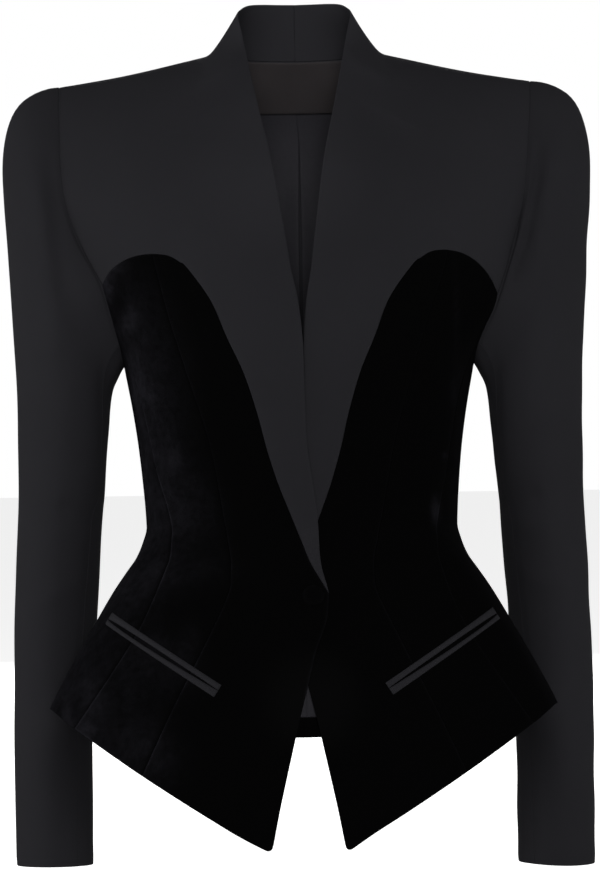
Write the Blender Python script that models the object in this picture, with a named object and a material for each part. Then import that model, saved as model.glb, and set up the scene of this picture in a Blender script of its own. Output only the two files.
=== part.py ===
"""Fitted blazer, filled out as if worn: crepe top with a funnel collar, velvet bodice and peplum.

Sizes are in millimetres and become metres when a mesh is made. The wearer faces -y, +z is up and
the origin lies between the shoulders. R is the wearer's right (x < 0), L the wearer's left.
A place on the body is an angle (0 at the centre front, pi at the centre back) and a height.
"""
import bmesh
import bpy
import numpy as np
from mathutils import Matrix, Vector

METRE = 0.001
SIDES = {"R": -1, "L": 1}

# Cloth and seams
CREPE_WALL = 1.5
VELVET_WALL = 1.8
LINING_WALL = 1.0
SEAM_GAP = 0.3
LINING_CLEARANCE = 1.5
LINING_HOLLOW = 3.0

# How many steps each seam is cut into; pieces that share a seam share its points
NECK_STEPS = 5
SHOULDER_STEPS = 5
COLLAR_STEPS = 3
FRONT_ARMHOLE_STEPS = 7
SIDE_ARMHOLE_STEPS = 6
BACK_ARMHOLE_STEPS = 8
DOME_STEPS = 4
BROW_STEPS = 5
WAIST_ROW = 12

# Shoulder and armhole
NECK_REACH = 72.0
NECK_BACK_HEIGHT = 22.5
SHOULDER_TIP = 1.0
ARMPIT = -236.0
SHOULDER_FALL = 130.0
BODY_ROUNDNESS = 0.85

# Front
CENTRE_PULL = 4.0
LAP_OUT = 1.2
LAP_IN = 1.8
CUP_DEPTH = 8.0
CUP_REACH = 80.0
CUP_HEIGHT = -205.0
CUP_SPREAD = 46.0
FRONT_POINT_REACH = 30.8
FRONT_POINT_HEIGHT = -636.0
FRONT_HEM_RISE = 0.575
FRONT_HEM_CURVE = 0.0004
SIDE_HEM_HEIGHT = -520.0
BACK_HEM_HEIGHT = -553.5
BACK_VELVET_TOP = -192.0
BACK_VELVET_DIP = 14.0
LINING_HEM_RISE = 18.5

# Pockets, button and label
JET_WIDTH = 5.0
JET_THICK = 1.3
JET_CLEARANCE = 0.9
BUTTON_RADIUS = 9.0
BUTTON_THICK = 4.2
BUTTON_CLEARANCE = 0.5
BUTTON_PLACE = (9.3, -426.6)
LABEL_TOP = 22.4
LABEL_DEPTH = 42.0
LABEL_THICK = 1.0


def table(columns, rows):
    """Return the rows as named columns, sorted by the first one."""
    values = np.array(sorted(rows), dtype=float)
    return {name: values[:, i] for i, name in enumerate(columns.split())}


BODY = table("height half_width front back widest", [
    (60, 238, -88, 90, 5),
    (0, 236, -92, 92, 5),
    (-42, 232, -97, 95, 5),
    (-84, 224, -101, 97, 5),
    (-123, 207, -105, 98, 5),
    (-167, 180, -110, 98, 4),
    (-202, 161, -115, 97, 2),
    (-236, 147, -116, 96, 0),
    (-256, 142.8, -114, 94, -2),
    (-281, 138.6, -110, 91, -4),
    (-307, 135, -105, 87.5, -5),
    (-332, 132.3, -100, 83.5, -6.5),
    (-357, 130.3, -96, 80, -7.5),
    (-370, 129.8, -95, 79, -8),
    (-382, 133, -97, 80, -9.5),
    (-395, 138.6, -100, 83, -11.5),
    (-407, 147, -103, 86, -14),
    (-420, 156, -107, 89, -17),
    (-433, 164, -111.5, 93, -20),
    (-445, 171, -115.5, 96, -24),
    (-479, 190.5, -127, 106, -35),
    (-521, 213, -139, 117, -45),
    (-580, 243, -153, 130, -50),
    (-650, 277, -168, 145, -54),
])

# Height of the shoulder line over each reach; inside the neck it only shapes the chest and the nape
SHOULDER = table("reach front back", [
    (0, 40.5, 71.3),
    (22, 36, 70.7),
    (45, 31.4, 61),
    (62, 28, 43.5),
    (72, 26, 26),
    (85, 23.3, 23.3),
    (96, 20.7, 20.7),
    (120, 15.2, 15.2),
    (150, 9, 9),
    (175, 4.8, 4.8),
    (199, 1, 1),
    (240, -4, -4),
])

ARMHOLE = table("height reach", [
    (1, 199),
    (-21, 199),
    (-52, 198),
    (-81, 197),
    (-123, 185.5),
    (-167, 163.4),
    (-195, 156),
    (-222, 149.2),
    (-236, 147),
])

# How far each front runs past the centre front
FRONT_EDGE = table("height past", [
    (60, -48.5),
    (21, -40.3),
    (-21, -31.5),
    (-62, -22.4),
    (-109, -15),
    (-165, -7),
    (-200, -1),
    (-265, 0.6),
    (-298, 1.5),
    (-323, 5),
    (-365, 10.2),
    (-397, 11.8),
    (-413, 15.6),
    (-425, 18.8),
    (-436, 18.6),
    (-446, 17),
    (-461, 10),
    (-479.7, 5.6),
    (-498.3, 0.4),
    (-525.8, -6.6),
    (-555, -13.5),
    (-590.4, -21.3),
    (-615, -27),
    (-636, -30.8),
])

# Depth of the collar's free edge from the side of the neck down to where it lies on the chest
COLLAR_FRONT = table("height depth", [
    (60, 9),
    (52, -5),
    (40, -18),
    (25, -29),
    (0, -46),
    (-21, -61),
    (-45, -75),
    (-70, -84),
])

COLLAR_TOP = table("x y z", [
    (0, 54, 70.3),
    (20, 49.5, 70.4),
    (35, 39.5, 70),
    (43.5, 26, 67.3),
    (48.5, 9, 60),
])

# Top edge of the velvet, from the armhole over the bust to the waist, by distance from the centre
VELVET_TOP = [
    (163.4, -167),
    (157, -156.5),
    (144.3, -147.3),
    (131, -143.3),
    (121, -142.6),
    (108, -144.2),
    (93.4, -153.6),
    (81, -169),
    (68.4, -194.8),
    (58.8, -219.3),
    (49.4, -239.5),
    (36.5, -281.2),
    (27.3, -318.5),
    (15.3, -352),
    (2.3, -386),
    (-2.0, -397),
    (-11.2, -413),
    (-18.8, -425),
]
DOME_PEAK = 4
BROW_END = 6

PRINCESS_SEAM = table("height reach", [
    (-142.6, 121),
    (-190, 109.3),
    (-236, 95.4),
    (-271, 84),
    (-296, 76.5),
    (-317, 72),
    (-372, 63),
    (-400, 59),
    (-419, 60),
    (-443, 70),
    (-519, 109),
    (-578, 137),
    (-620, 158),
])

SIDE_FRONT_SEAM = table("height reach", [
    (-195, 156),
    (-224.5, 146.4),
    (-249, 136.5),
    (-276, 130),
    (-327, 119.4),
    (-349, 112.8),
    (-371, 108.5),
    (-390, 109.5),
    (-414, 118),
    (-450, 134.5),
    (-474, 149),
    (-538, 193),
    (-580, 221),
])

BACK_SEAM = table("height degrees", [
    (-192, 109.5),
    (-240, 115),
    (-300, 120),
    (-370, 123),
    (-560, 124),
])

# Heights of the rows below the armhole; the last three steps run evenly to the hem
LEVELS = [-195, -222, -250, -278, -304, -328, -349, -366, -380, -393, -406, -420, -436, -454, -474, -496]

# Sleeve sections from the armhole to the cuff: outer and inner edge, middle and half depth
SLEEVE = table("row outer_x outer_z inner_x inner_z middle half_depth", [
    (0, 199, 1, 147.6, -236, 3, 49),
    (1, 209, -0.5, 148.8, -238, 3.5, 51),
    (2, 220, -4.5, 150.4, -241, 4, 53),
    (3, 231, -12, 152.2, -245, 5, 55),
    (4, 239, -24, 154.2, -249, 6, 56.5),
    (5, 244.5, -42, 156.2, -254, 7, 57.5),
    (6, 247.3, -66, 157.8, -261, 8.5, 58),
    (7, 246.6, -98, 159.2, -271, 10.5, 58),
    (8, 243.6, -138, 160.6, -286, 14, 57),
    (9, 241.3, -185, 162.5, -304, 19, 55.5),
    (10, 239.3, -235, 164.3, -324, 27, 53.5),
    (11, 238.6, -290, 166.2, -344, 36, 51),
    (12, 239.2, -345, 168.3, -363, 46, 49),
    (13, 242.1, -400, 170.8, -400, 57, 47),
    (14, 244.1, -442, 174.3, -442, 67, 45.5),
    (15, 246, -486, 177.2, -486, 77, 44.5),
    (16, 247, -530, 179.7, -530, 85, 43.5),
    (17, 246.9, -575, 181, -575, 87, 43),
    (18, 246.7, -616, 180.8, -616, 86, 42),
    (19, 246.6, -657, 180.5, -657, 84, 41),
])
SLEEVE_FADE_ROWS = 7
SLEEVE_SEAMS = table("row front back", [
    (0, 148, 214),
    (6, 150, 222),
    (11, 158, 236),
    (12, 143, 238),
    (15, 134, 240),
    (19, 128, 240),
])

# Pocket jets: the outer and the inner end of each middle line
POCKET_JETS = {
    "pocket_jet_upper": ((159.6, -442.2), (68.3, -500.2)),
    "pocket_jet_lower": ((163.4, -448.1), (72.1, -506.1)),
}


def read(columns, key, name, at):
    """Read a column at any place with a cubic that never overshoots its rows."""
    x = columns[key]
    y = columns[name]
    at = np.clip(np.asarray(at, dtype=float), x[0], x[-1])
    step = np.diff(x)
    slope = np.diff(y) / step
    both = slope[:-1] * slope[1:]
    total = slope[:-1] + slope[1:]
    inner = np.where(both > 0, 2 * both / np.where(both > 0, total, 1), 0)
    tangent = np.concatenate([slope[:1], inner, slope[-1:]])
    i = np.clip(np.searchsorted(x, at) - 1, 0, len(step) - 1)
    t = (at - x[i]) / step[i]
    rise = y[i + 1] - y[i]
    start = tangent[i] * step[i]
    end = tangent[i + 1] * step[i]
    return y[i] + t * (start + t * (3 * rise - 2 * start - end + t * (start + end - 2 * rise)))


def ease(value, low, high):
    """Go smoothly from 0 at low to 1 at high."""
    t = np.clip((value - low) / (high - low), 0, 1)
    return t * t * (3 - 2 * t)


def evenly(points, steps):
    """Cut a smooth curve through the points into steps of equal length."""
    points = np.asarray(points, dtype=float)
    chord = np.linalg.norm(np.diff(points, axis=0), axis=1)
    knots = np.concatenate([[0], np.cumsum(chord)])
    fine = np.linspace(0, knots[-1], 400)
    tangent = np.gradient(points, knots, axis=0)
    i = np.clip(np.searchsorted(knots, fine) - 1, 0, len(chord) - 1)
    t = ((fine - knots[i]) / chord[i])[:, None]
    start = tangent[i] * chord[i][:, None]
    end = tangent[i + 1] * chord[i][:, None]
    rise = points[i + 1] - points[i]
    curve = points[i] + t * (start + t * (3 * rise - 2 * start - end + t * (start + end - 2 * rise)))
    run = np.concatenate([[0], np.cumsum(np.linalg.norm(np.diff(curve, axis=0), axis=1))])
    cuts = np.linspace(0, run[-1], steps + 1)
    return np.stack([np.interp(cuts, run, curve[:, k]) for k in range(curve.shape[1])], axis=1)


def patch(top, bottom, left, right):
    """Fill four edges that share their corners with rows and columns (a Coons patch)."""
    rows = np.linspace(0, 1, len(left))[:, None, None]
    columns = np.linspace(0, 1, len(top))[None, :, None]
    along = (1 - rows) * top[None] + rows * bottom[None]
    across = (1 - columns) * left[:, None] + columns * right[:, None]
    corners = ((1 - rows) * (1 - columns) * top[0] + (1 - rows) * columns * top[-1]
               + rows * (1 - columns) * bottom[0] + rows * columns * bottom[-1])
    return along + across - corners


def half_width(height):
    return read(BODY, "height", "half_width", height)


def centre_front(height, distance):
    """The buttoned lap pulls the centre towards the wearer's left; the pull fades sideways."""
    return CENTRE_PULL * ease(-height, -60, 260) * np.clip(1 - np.abs(distance) / 120, 0, 1)


def front_place(side, distance, height):
    """Angle and height of a point given by its distance from the centre front, as seen from the front."""
    distance = np.asarray(distance, dtype=float)
    x = side * distance + centre_front(height, distance)
    return np.stack([np.arcsin(np.clip(side * x / half_width(height), -1, 1)), height + 0 * x], axis=-1)


def lap(side, x, height):
    """Move the right front out and the left front in where they lie over each other."""
    near = 1 - ease(np.abs(x - CENTRE_PULL), 26, 70)
    tall = ease(-height, 165, 205) * (1 - ease(-height, 515, 575))
    return near * tall * (-LAP_OUT if side < 0 else LAP_IN)


def body(side, place):
    """Point of the body's outer face at an angle and a height."""
    angle = place[..., 0]
    height = place[..., 1]
    reach = half_width(height) * np.sin(angle)
    cosine = np.cos(angle)
    ahead = cosine >= 0
    crest = np.where(ahead, read(SHOULDER, "reach", "front", np.abs(reach)),
                     read(SHOULDER, "reach", "back", np.abs(reach)))
    fall = np.clip((crest - height) / SHOULDER_FALL, 0, 1)
    fullness = np.abs(cosine) ** BODY_ROUNDNESS * (1 - (1 - fall) ** 1.7) ** 0.7
    widest = read(BODY, "height", "widest", height)
    front = read(BODY, "height", "front", height) - widest
    back = read(BODY, "height", "back", height) - widest
    off = ((reach - CUP_REACH) ** 2 + (height - CUP_HEIGHT) ** 2) / (2 * CUP_SPREAD ** 2)
    cup = np.where(ahead, CUP_DEPTH * np.exp(-off), 0)
    y = widest + np.where(ahead, front, back) * fullness - cup
    x = side * reach
    y = y + np.where(ahead, lap(side, x, height), 0)
    return np.stack([x, y, height + 0 * x], axis=-1)


def hem_height(angle):
    """Height of the hem: it falls to the front points and dips a little at the centre back."""
    angle = np.asarray(angle, dtype=float)
    height = np.full(angle.shape, SIDE_HEM_HEIGHT)
    for _ in range(30):
        reach = half_width(height) * np.sin(np.minimum(angle, np.pi / 2))
        along = reach - FRONT_POINT_REACH
        line = FRONT_POINT_HEIGHT + FRONT_HEM_RISE * along + FRONT_HEM_CURVE * along * np.abs(along)
        height = np.minimum(line, SIDE_HEM_HEIGHT)
    behind = ease(angle, np.pi / 2, np.pi)
    return np.where(angle > np.pi / 2, SIDE_HEM_HEIGHT + (BACK_HEM_HEIGHT - SIDE_HEM_HEIGHT) * behind, height)


def armhole(turns):
    """Places round the armhole: 0 at the shoulder tip, pi under the arm, 2 pi at the tip again."""
    height = SHOULDER_TIP - (1 - np.cos(turns)) / 2 * (SHOULDER_TIP - ARMPIT)
    reach = read(ARMHOLE, "height", "reach", height)
    angle = np.arcsin(np.clip(reach / half_width(height), 0, 1))
    return np.stack([np.where(turns > np.pi, np.pi - angle, angle), height], axis=-1)


def turn_at(height):
    return np.arccos(1 - 2 * (SHOULDER_TIP - height) / (SHOULDER_TIP - ARMPIT))


FRONT_TURN = turn_at(-167.0)
SIDE_TURN = turn_at(-195.0)
BACK_TURN = 2 * np.pi - turn_at(BACK_VELVET_TOP)
TURNS = np.concatenate([
    np.linspace(0, FRONT_TURN, FRONT_ARMHOLE_STEPS + 1),
    np.linspace(SIDE_TURN, BACK_TURN, SIDE_ARMHOLE_STEPS + 1),
    np.linspace(BACK_TURN, 2 * np.pi, BACK_ARMHOLE_STEPS + 1)[1:],
])
FIRST_SIDE_TURN = FRONT_ARMHOLE_STEPS + 1
LAST_SIDE_TURN = FIRST_SIDE_TURN + SIDE_ARMHOLE_STEPS


def seam_down(columns, name, top, soften):
    """Places down a seam: its first rows start from the top height and ease into the shared levels."""
    levels = np.array(LEVELS, dtype=float)
    first = np.maximum(0, 1 - np.arange(len(levels)) / soften)
    heights = levels + (top - levels[0]) * first
    if name == "degrees":
        angle_at = lambda h: np.radians(read(columns, "height", name, h))
    else:
        angle_at = lambda h: np.arcsin(np.clip(read(columns, "height", name, h) / half_width(h), -1, 1))
    hem = heights[-1] - 40
    for _ in range(40):
        hem = 0.5 * hem + 0.5 * float(hem_height(angle_at(hem)))
    heights = np.concatenate([heights, np.linspace(heights[-1], hem, 4)[1:]])
    return np.stack([angle_at(heights), heights], axis=-1)


def hem_between(first, last, steps):
    angle = np.linspace(first, last, steps + 1)
    return np.stack([angle, hem_height(angle)], axis=-1)


def torso_places(side):
    """Angle and height grids of the panels that lie on the body."""
    loop = armhole(TURNS)
    curve = np.array(VELVET_TOP, dtype=float)
    dome = evenly(curve[:DOME_PEAK + 1], DOME_STEPS)[::-1]
    brow = evenly(curve[DOME_PEAK:BROW_END + 1], BROW_STEPS)
    dome = front_place(side, dome[:, 0], dome[:, 1])
    brow = front_place(side, brow[:, 0], brow[:, 1])
    dome[-1] = loop[FRONT_ARMHOLE_STEPS]

    princess = seam_down(PRINCESS_SEAM, "reach", -170, 5)
    princess = np.concatenate([brow[:1], princess])
    side_front = seam_down(SIDE_FRONT_SEAM, "reach", LEVELS[0], 5)
    side_front[0] = loop[FIRST_SIDE_TURN]
    back_seam = seam_down(BACK_SEAM, "degrees", BACK_VELVET_TOP, 5)
    back_seam[0] = loop[LAST_SIDE_TURN]

    # The lapel line and the front edge below it, on rows level with the princess seam
    lapel = table("height distance", [(h, d) for d, h in curve[BROW_END:]])
    level = princess[:, 1]
    share = (level[:WAIST_ROW + 1] - level[0]) / (level[WAIST_ROW] - level[0])
    heights = lapel["height"][-1] + share * (lapel["height"][0] - lapel["height"][-1])
    slope = front_place(side, read(lapel, "height", "distance", heights), heights)
    slope[0] = brow[-1]
    share = (level[WAIST_ROW:] - level[WAIST_ROW]) / (level[-1] - level[WAIST_ROW])
    heights = heights[-1] + share * (FRONT_POINT_HEIGHT - heights[-1])
    edge = front_place(side, -read(FRONT_EDGE, "height", "past", heights), heights)
    front_line = np.concatenate([slope, edge[1:]])
    front_hem = np.linspace(princess[-1, 0], edge[-1, 0], BROW_STEPS + 1)
    front_hem = np.stack([front_hem, hem_height(front_hem)], axis=-1)
    front_hem[-1] = edge[-1]

    across = NECK_STEPS + SHOULDER_STEPS
    centre = np.linspace(np.pi, back_seam[0, 0], across + 1)
    dip = BACK_VELVET_TOP - BACK_VELVET_DIP * ease(centre, back_seam[0, 0], np.pi)
    back_top = np.stack([centre, dip], axis=-1)
    back_centre = seam_down(table("height degrees", [(-900, 180), (0, 180)]), "degrees", dip[0], 5)

    neck = np.linspace(0, NECK_REACH, NECK_STEPS + 1)
    neck_height = NECK_BACK_HEIGHT + (SHOULDER["back"][4] - NECK_BACK_HEIGHT) * (neck / NECK_REACH) ** 2
    ridge = np.linspace(NECK_REACH, 199, SHOULDER_STEPS + 1)[1:]
    reach = np.concatenate([neck, ridge])
    height = np.concatenate([neck_height, read(SHOULDER, "reach", "back", ridge)])
    crest = np.stack([np.pi - np.arcsin(reach / half_width(height)), height], axis=-1)
    crest[-1] = loop[-1]
    yoke_rows = BACK_ARMHOLE_STEPS
    yoke_centre = np.stack([np.full(yoke_rows + 1, np.pi),
                            np.linspace(NECK_BACK_HEIGHT, dip[0], yoke_rows + 1)], axis=-1)

    return {
        "front_velvet": patch(brow, front_hem, princess, front_line),
        "front_side_velvet": patch(dome, hem_between(princess[-1, 0], side_front[-1, 0], DOME_STEPS), princess,
                                   np.concatenate([dome[-1:], side_front])),
        "side_panel": patch(loop[FIRST_SIDE_TURN:LAST_SIDE_TURN + 1],
                            hem_between(side_front[-1, 0], back_seam[-1, 0], SIDE_ARMHOLE_STEPS),
                            side_front, back_seam),
        "back_velvet": patch(back_top[::-1], hem_between(back_seam[-1, 0], np.pi, across), back_seam, back_centre),
        "back_upper": patch(crest, back_top, yoke_centre, loop[LAST_SIDE_TURN:][::-1]),
    }, np.concatenate([dome[::-1], brow[1:], slope[1:]])


def front_upper_grids(side, velvet_line):
    """Collar and front: lines run from the free edge to the shoulder, the armhole and the velvet."""
    loop = armhole(TURNS[:FRONT_ARMHOLE_STEPS + 1])
    outer = np.concatenate([body(side, loop), body(side, velvet_line)[1:]])
    count = len(outer)
    brow_end = FRONT_ARMHOLE_STEPS + DOME_STEPS + BROW_STEPS
    heights = np.interp(np.arange(count), [0, FRONT_ARMHOLE_STEPS, brow_end - BROW_STEPS, brow_end],
                        [COLLAR_FRONT["height"][-1], -50, -105, -155])
    heights[brow_end:] = outer[brow_end:, 2] + np.linspace(-4, 8, count - brow_end)
    place = front_place(side, -read(FRONT_EDGE, "height", "past", heights), heights)
    inner = body(side, place)
    stand = read(COLLAR_FRONT, "height", "depth", heights)
    on_chest = ease(-heights, 15, 68)
    inner[:, 1] = stand + (inner[:, 1] - stand) * on_chest

    # The first line climbs down the collar to the neck point and then follows the shoulder seam
    rows = COLLAR_STEPS + SHOULDER_STEPS
    share = np.linspace(0, 1, rows + 1)
    ridge = np.linspace(NECK_REACH, 199, SHOULDER_STEPS + 1)
    seam_x = np.concatenate([np.linspace(np.abs(inner[0, 0]), NECK_REACH, COLLAR_STEPS + 1), ridge[1:]])
    seam_z = np.concatenate([np.linspace(inner[0, 2], SHOULDER["front"][4], COLLAR_STEPS + 1),
                             read(SHOULDER, "reach", "front", ridge)[1:]])
    straight_x = np.abs(inner[0, 0]) + share * (199 - np.abs(inner[0, 0]))
    straight_z = inner[0, 2] + share * (SHOULDER_TIP - inner[0, 2])
    bend = np.clip(1 - np.arange(count) / 7, 0, 1)[None, :] ** 1.6
    # Lines that end beside the foot of the armhole come down on it from above, clear of the dome
    steep = 1 + 0.9 * np.clip(1 - np.abs(np.arange(count) - FRONT_ARMHOLE_STEPS) / 3, 0, 1)[None, :]
    out = 1 - (1 - share[:, None]) ** steep
    down = share[:, None] ** steep
    x = inner[None, :, 0] + out * (outer[None, :, 0] - inner[None, :, 0])
    z = inner[None, :, 2] + down * (outer[None, :, 2] - inner[None, :, 2])
    x = x + side * (seam_x - straight_x)[:, None] * bend
    z = z + (seam_z - straight_z)[:, None] * bend
    angle = np.arcsin(np.clip(side * x / half_width(z), -1, 1))
    front = body(side, np.stack([angle, z], axis=-1))
    front[..., 0] = x
    lift = inner[:, 1] - front[0, :, 1]
    front[..., 1] += lift[None, :] * (1 - ease(share, 0, 0.5))[:, None]
    front[-1] = outer

    # The collar goes on round the back of the neck to its seam
    top = evenly(np.stack([COLLAR_TOP["x"], COLLAR_TOP["y"], COLLAR_TOP["z"]], axis=1), NECK_STEPS)
    top[:, 0] *= side
    neck = np.linspace(0, NECK_REACH, NECK_STEPS + 1)
    neck_height = NECK_BACK_HEIGHT + (SHOULDER["back"][4] - NECK_BACK_HEIGHT) * (neck / NECK_REACH) ** 2
    base = body(side, np.stack([np.pi - np.arcsin(neck / half_width(neck_height)), neck_height], axis=-1))
    rise = np.linspace(0, 1, COLLAR_STEPS + 1)[:, None, None]
    collar = top[None] + rise * (base - top)[None]
    front[:COLLAR_STEPS + 1, 0] = collar[:, -1]
    front[COLLAR_STEPS:, 0] = np.stack([side * ridge, 0 * ridge + base[-1, 1],
                                        read(SHOULDER, "reach", "front", ridge)], axis=-1)
    return [collar, front]


def sleeve_grid(side):
    """Rings from the armhole to the cuff, and the column numbers of the two seams."""
    loop = body(side, armhole(TURNS[:-1]))
    loop[:, 0] = np.abs(loop[:, 0])
    rows = SLEEVE["row"]
    seam_front = read(SLEEVE_SEAMS, "row", "front", rows)
    seam_back = read(SLEEVE_SEAMS, "row", "back", rows)
    turns = TURNS[:-1]
    front_column = int(np.argmin(np.abs(np.degrees(turns) - seam_front[0])))
    back_column = int(np.argmin(np.abs(np.degrees(turns) - seam_back[0])))
    count = len(turns)
    rings = []
    first = None
    for i in range(len(rows)):
        over = np.linspace(seam_back[i] - 360, seam_front[i], count - back_column + front_column + 1)
        under = np.linspace(seam_front[i], seam_back[i], back_column - front_column + 1)
        even = np.concatenate([over[count - back_column:], under[1:], over[1:count - back_column] + 360])
        fade = ease(rows[i], 0, SLEEVE_FADE_ROWS)
        turn = turns + (np.radians(even) - turns) * fade
        outer = np.array([SLEEVE["outer_x"][i], SLEEVE["middle"][i], SLEEVE["outer_z"][i]])
        inner = np.array([SLEEVE["inner_x"][i], SLEEVE["middle"][i], SLEEVE["inner_z"][i]])
        along = np.cos(turn)[:, None] * (outer - inner)[None] / 2
        across = np.sin(turn)[:, None] * np.array([0, -SLEEVE["half_depth"][i], 0])[None]
        ring = (outer + inner) / 2 + along + across
        if first is None:
            first = loop - ring
        rings.append(ring + (1 - fade) * first)
    grid = np.array(rings)
    grid[0, :, 0] += 0.6
    grid[..., 0] *= side
    return grid, front_column, back_column


def corners(grid):
    """Vertex numbers of the four corners of every cell of a grid."""
    numbers = np.arange(grid.shape[0] * grid.shape[1]).reshape(grid.shape[:2])
    return np.stack([numbers[:-1, :-1], numbers[:-1, 1:], numbers[1:, 1:], numbers[1:, :-1]], axis=-1).reshape(-1, 4)


def join(grids):
    """Merge grids that share points into one sheet of vertices and four-sided faces."""
    points = np.concatenate([g.reshape(-1, 3) for g in grids])
    faces = []
    start = 0
    for g in grids:
        faces.append(corners(g) + start)
        start += g.shape[0] * g.shape[1]
    keys, first, number = np.unique(np.round(points, 3), axis=0, return_index=True, return_inverse=True)
    return points[first], number.reshape(-1)[np.concatenate(faces)]


def face_normals(points, faces):
    return np.cross(points[faces[:, 2]] - points[faces[:, 0]], points[faces[:, 3]] - points[faces[:, 1]])


def facing_out(grids, centre):
    """Turn each grid so that its faces look away from the centre line."""
    turned = []
    for g in grids:
        points, faces = join([g])
        normal = face_normals(points, faces)
        middle = points[faces].mean(axis=1)
        away = ((middle - centre(middle[:, 2])) * normal)[:, :2].sum()
        turned.append(g if away > 0 else g[:, ::-1])
    return turned


def shared_normals(grids):
    """Outward normals that pieces meeting at a seam have in common, looked up by point."""
    points, faces = join(grids)
    normal = np.zeros_like(points)
    for k in range(4):
        np.add.at(normal, faces[:, k], face_normals(points, faces))
    normal[np.abs(points[:, 0]) < 0.01, 0] = 0
    normal /= np.linalg.norm(normal, axis=1)[:, None]
    return {tuple(p): n for p, n in zip(np.round(points, 3), normal)}


def look_up(normals, points):
    return np.array([normals[tuple(p)] for p in np.round(points, 3)])


def trimmed(points, faces, amount):
    """Draw the border of a sheet in by an amount, and return its border edges too."""
    edges = {}
    for number, face in enumerate(faces):
        for a, b in zip(face, np.roll(face, -1)):
            edges[(a, b)] = number
    border = [e for e in edges if (e[1], e[0]) not in edges]
    normal = face_normals(points, faces)
    inward = {}
    for a, b in border:
        direction = np.cross(normal[edges[(a, b)]], points[b] - points[a])
        direction /= np.linalg.norm(direction)
        inward.setdefault(a, []).append(direction)
        inward.setdefault(b, []).append(direction)
    moved = points.copy()
    for vertex, pair in inward.items():
        total = np.sum(pair, axis=0)
        moved[vertex] += amount * total / max(0.5, 1 + np.dot(pair[0], pair[-1]))
    return moved, border


def solid(name, outer, inner, faces, border, material):
    """Close two sheets into one wall and add it to the scene."""
    count = len(outer)
    walls = [list(f) for f in faces] + [[v + count for v in f[[0, 3, 2, 1]]] for f in faces]
    walls += [[b, a, a + count, b + count] for a, b in border]
    mesh = bpy.data.meshes.new(name)
    mesh.from_pydata(np.concatenate([outer, inner]) * METRE, [], walls)
    mesh.materials.append(material)
    mesh.polygons.foreach_set("use_smooth", [True] * (2 * len(faces)) + [False] * len(border))
    mesh.validate()
    part = bpy.data.objects.new(name, mesh)
    bpy.context.collection.objects.link(part)
    return part


def cloth(name, grids, normals, wall, material, depth=0.0):
    """A wall of cloth whose outer face lies a depth below the given grids."""
    points, faces = join(grids)
    normal = look_up(normals, points)
    moved, border = trimmed(points, faces, SEAM_GAP / 2)
    return solid(name, moved - depth * normal, moved - (depth + wall) * normal, faces, border, material)


def body_normal(side, place):
    """Outward unit normal of the body from two small steps along it."""
    step = np.array([0.004, 0.0])
    rise = np.array([0.0, 0.8])
    across = body(side, place + step) - body(side, place - step)
    up = body(side, place + rise) - body(side, place - rise)
    normal = np.cross(across, up) * side
    return normal / np.linalg.norm(normal, axis=-1)[..., None]


def pocket_jet(name, side, ends, material):
    """A crowned strip that lies on the panels along a slanted pocket mouth."""
    along = np.linspace(0, 1, 19)[:, None, None]
    across = np.linspace(-0.5, 0.5, 4)[None, :, None]
    outer, inner = np.array(ends[0]), np.array(ends[1])
    direction = (inner - outer) / np.linalg.norm(inner - outer)
    over = np.array([-direction[1], direction[0]])
    flat = outer + along * (inner - outer) + across * JET_WIDTH * over
    place = np.stack([np.arcsin(flat[..., 0] / half_width(flat[..., 1])), flat[..., 1]], axis=-1)
    points = body(side, place)
    normal = body_normal(side, place)
    crown = (1 - 2.4 * across ** 2) * JET_THICK
    top = points + normal * (JET_CLEARANCE + crown)
    low = points + normal * JET_CLEARANCE
    if side > 0:
        top, low = top[:, ::-1], low[:, ::-1]
    outer_points, faces = top.reshape(-1, 3), corners(top)
    if (face_normals(outer_points, faces) * normal.reshape(-1, 3).mean(axis=0)).sum() < 0:
        faces = faces[:, ::-1]
    moved, border = trimmed(outer_points, faces, 0.0)
    return solid(name, outer_points, low.reshape(-1, 3), faces, border, material)


def button(name, material):
    """A domed covered button turned from a profile, set on the right front."""
    side = SIDES["R"]
    place = np.array([np.arcsin(side * BUTTON_PLACE[0] / half_width(BUTTON_PLACE[1])), BUTTON_PLACE[1]])
    spot = body(side, place)
    normal = body_normal(side, place)
    profile = [(0, 1), (0.5, 0.94), (0.8, 0.72), (0.96, 0.42), (1, 0.2), (0.93, 0), (0, 0)]
    mesh = bmesh.new()
    verts = [mesh.verts.new((r * BUTTON_RADIUS, 0, h * BUTTON_THICK)) for r, h in profile]
    edges = [mesh.edges.new(pair) for pair in zip(verts, verts[1:])]
    bmesh.ops.spin(mesh, geom=verts + edges, cent=(0, 0, 0), axis=(0, 0, 1), angle=2 * np.pi, steps=24)
    bmesh.ops.remove_doubles(mesh, verts=mesh.verts, dist=0.001)
    bmesh.ops.recalc_face_normals(mesh, faces=mesh.faces)
    turn = Vector((0, 0, 1)).rotation_difference(Vector(normal)).to_matrix().to_4x4()
    where = Matrix.Translation(Vector((spot + normal * BUTTON_CLEARANCE) * METRE))
    mesh.transform(where @ turn @ Matrix.Scale(METRE, 4))
    data = bpy.data.meshes.new(name)
    mesh.to_mesh(data)
    mesh.free()
    data.materials.append(material)
    part = bpy.data.objects.new(name, data)
    bpy.context.collection.objects.link(part)
    return part


def rows_at(grid, rows):
    """Points of a grid at fractional rows, one set of rows for each column."""
    low = np.clip(np.floor(rows).astype(int), 0, grid.shape[0] - 2)
    part = (rows - low)[..., None]
    column = np.arange(grid.shape[1])[None, :]
    return grid[low, column] * (1 - part) + grid[low + 1, column] * part


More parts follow.
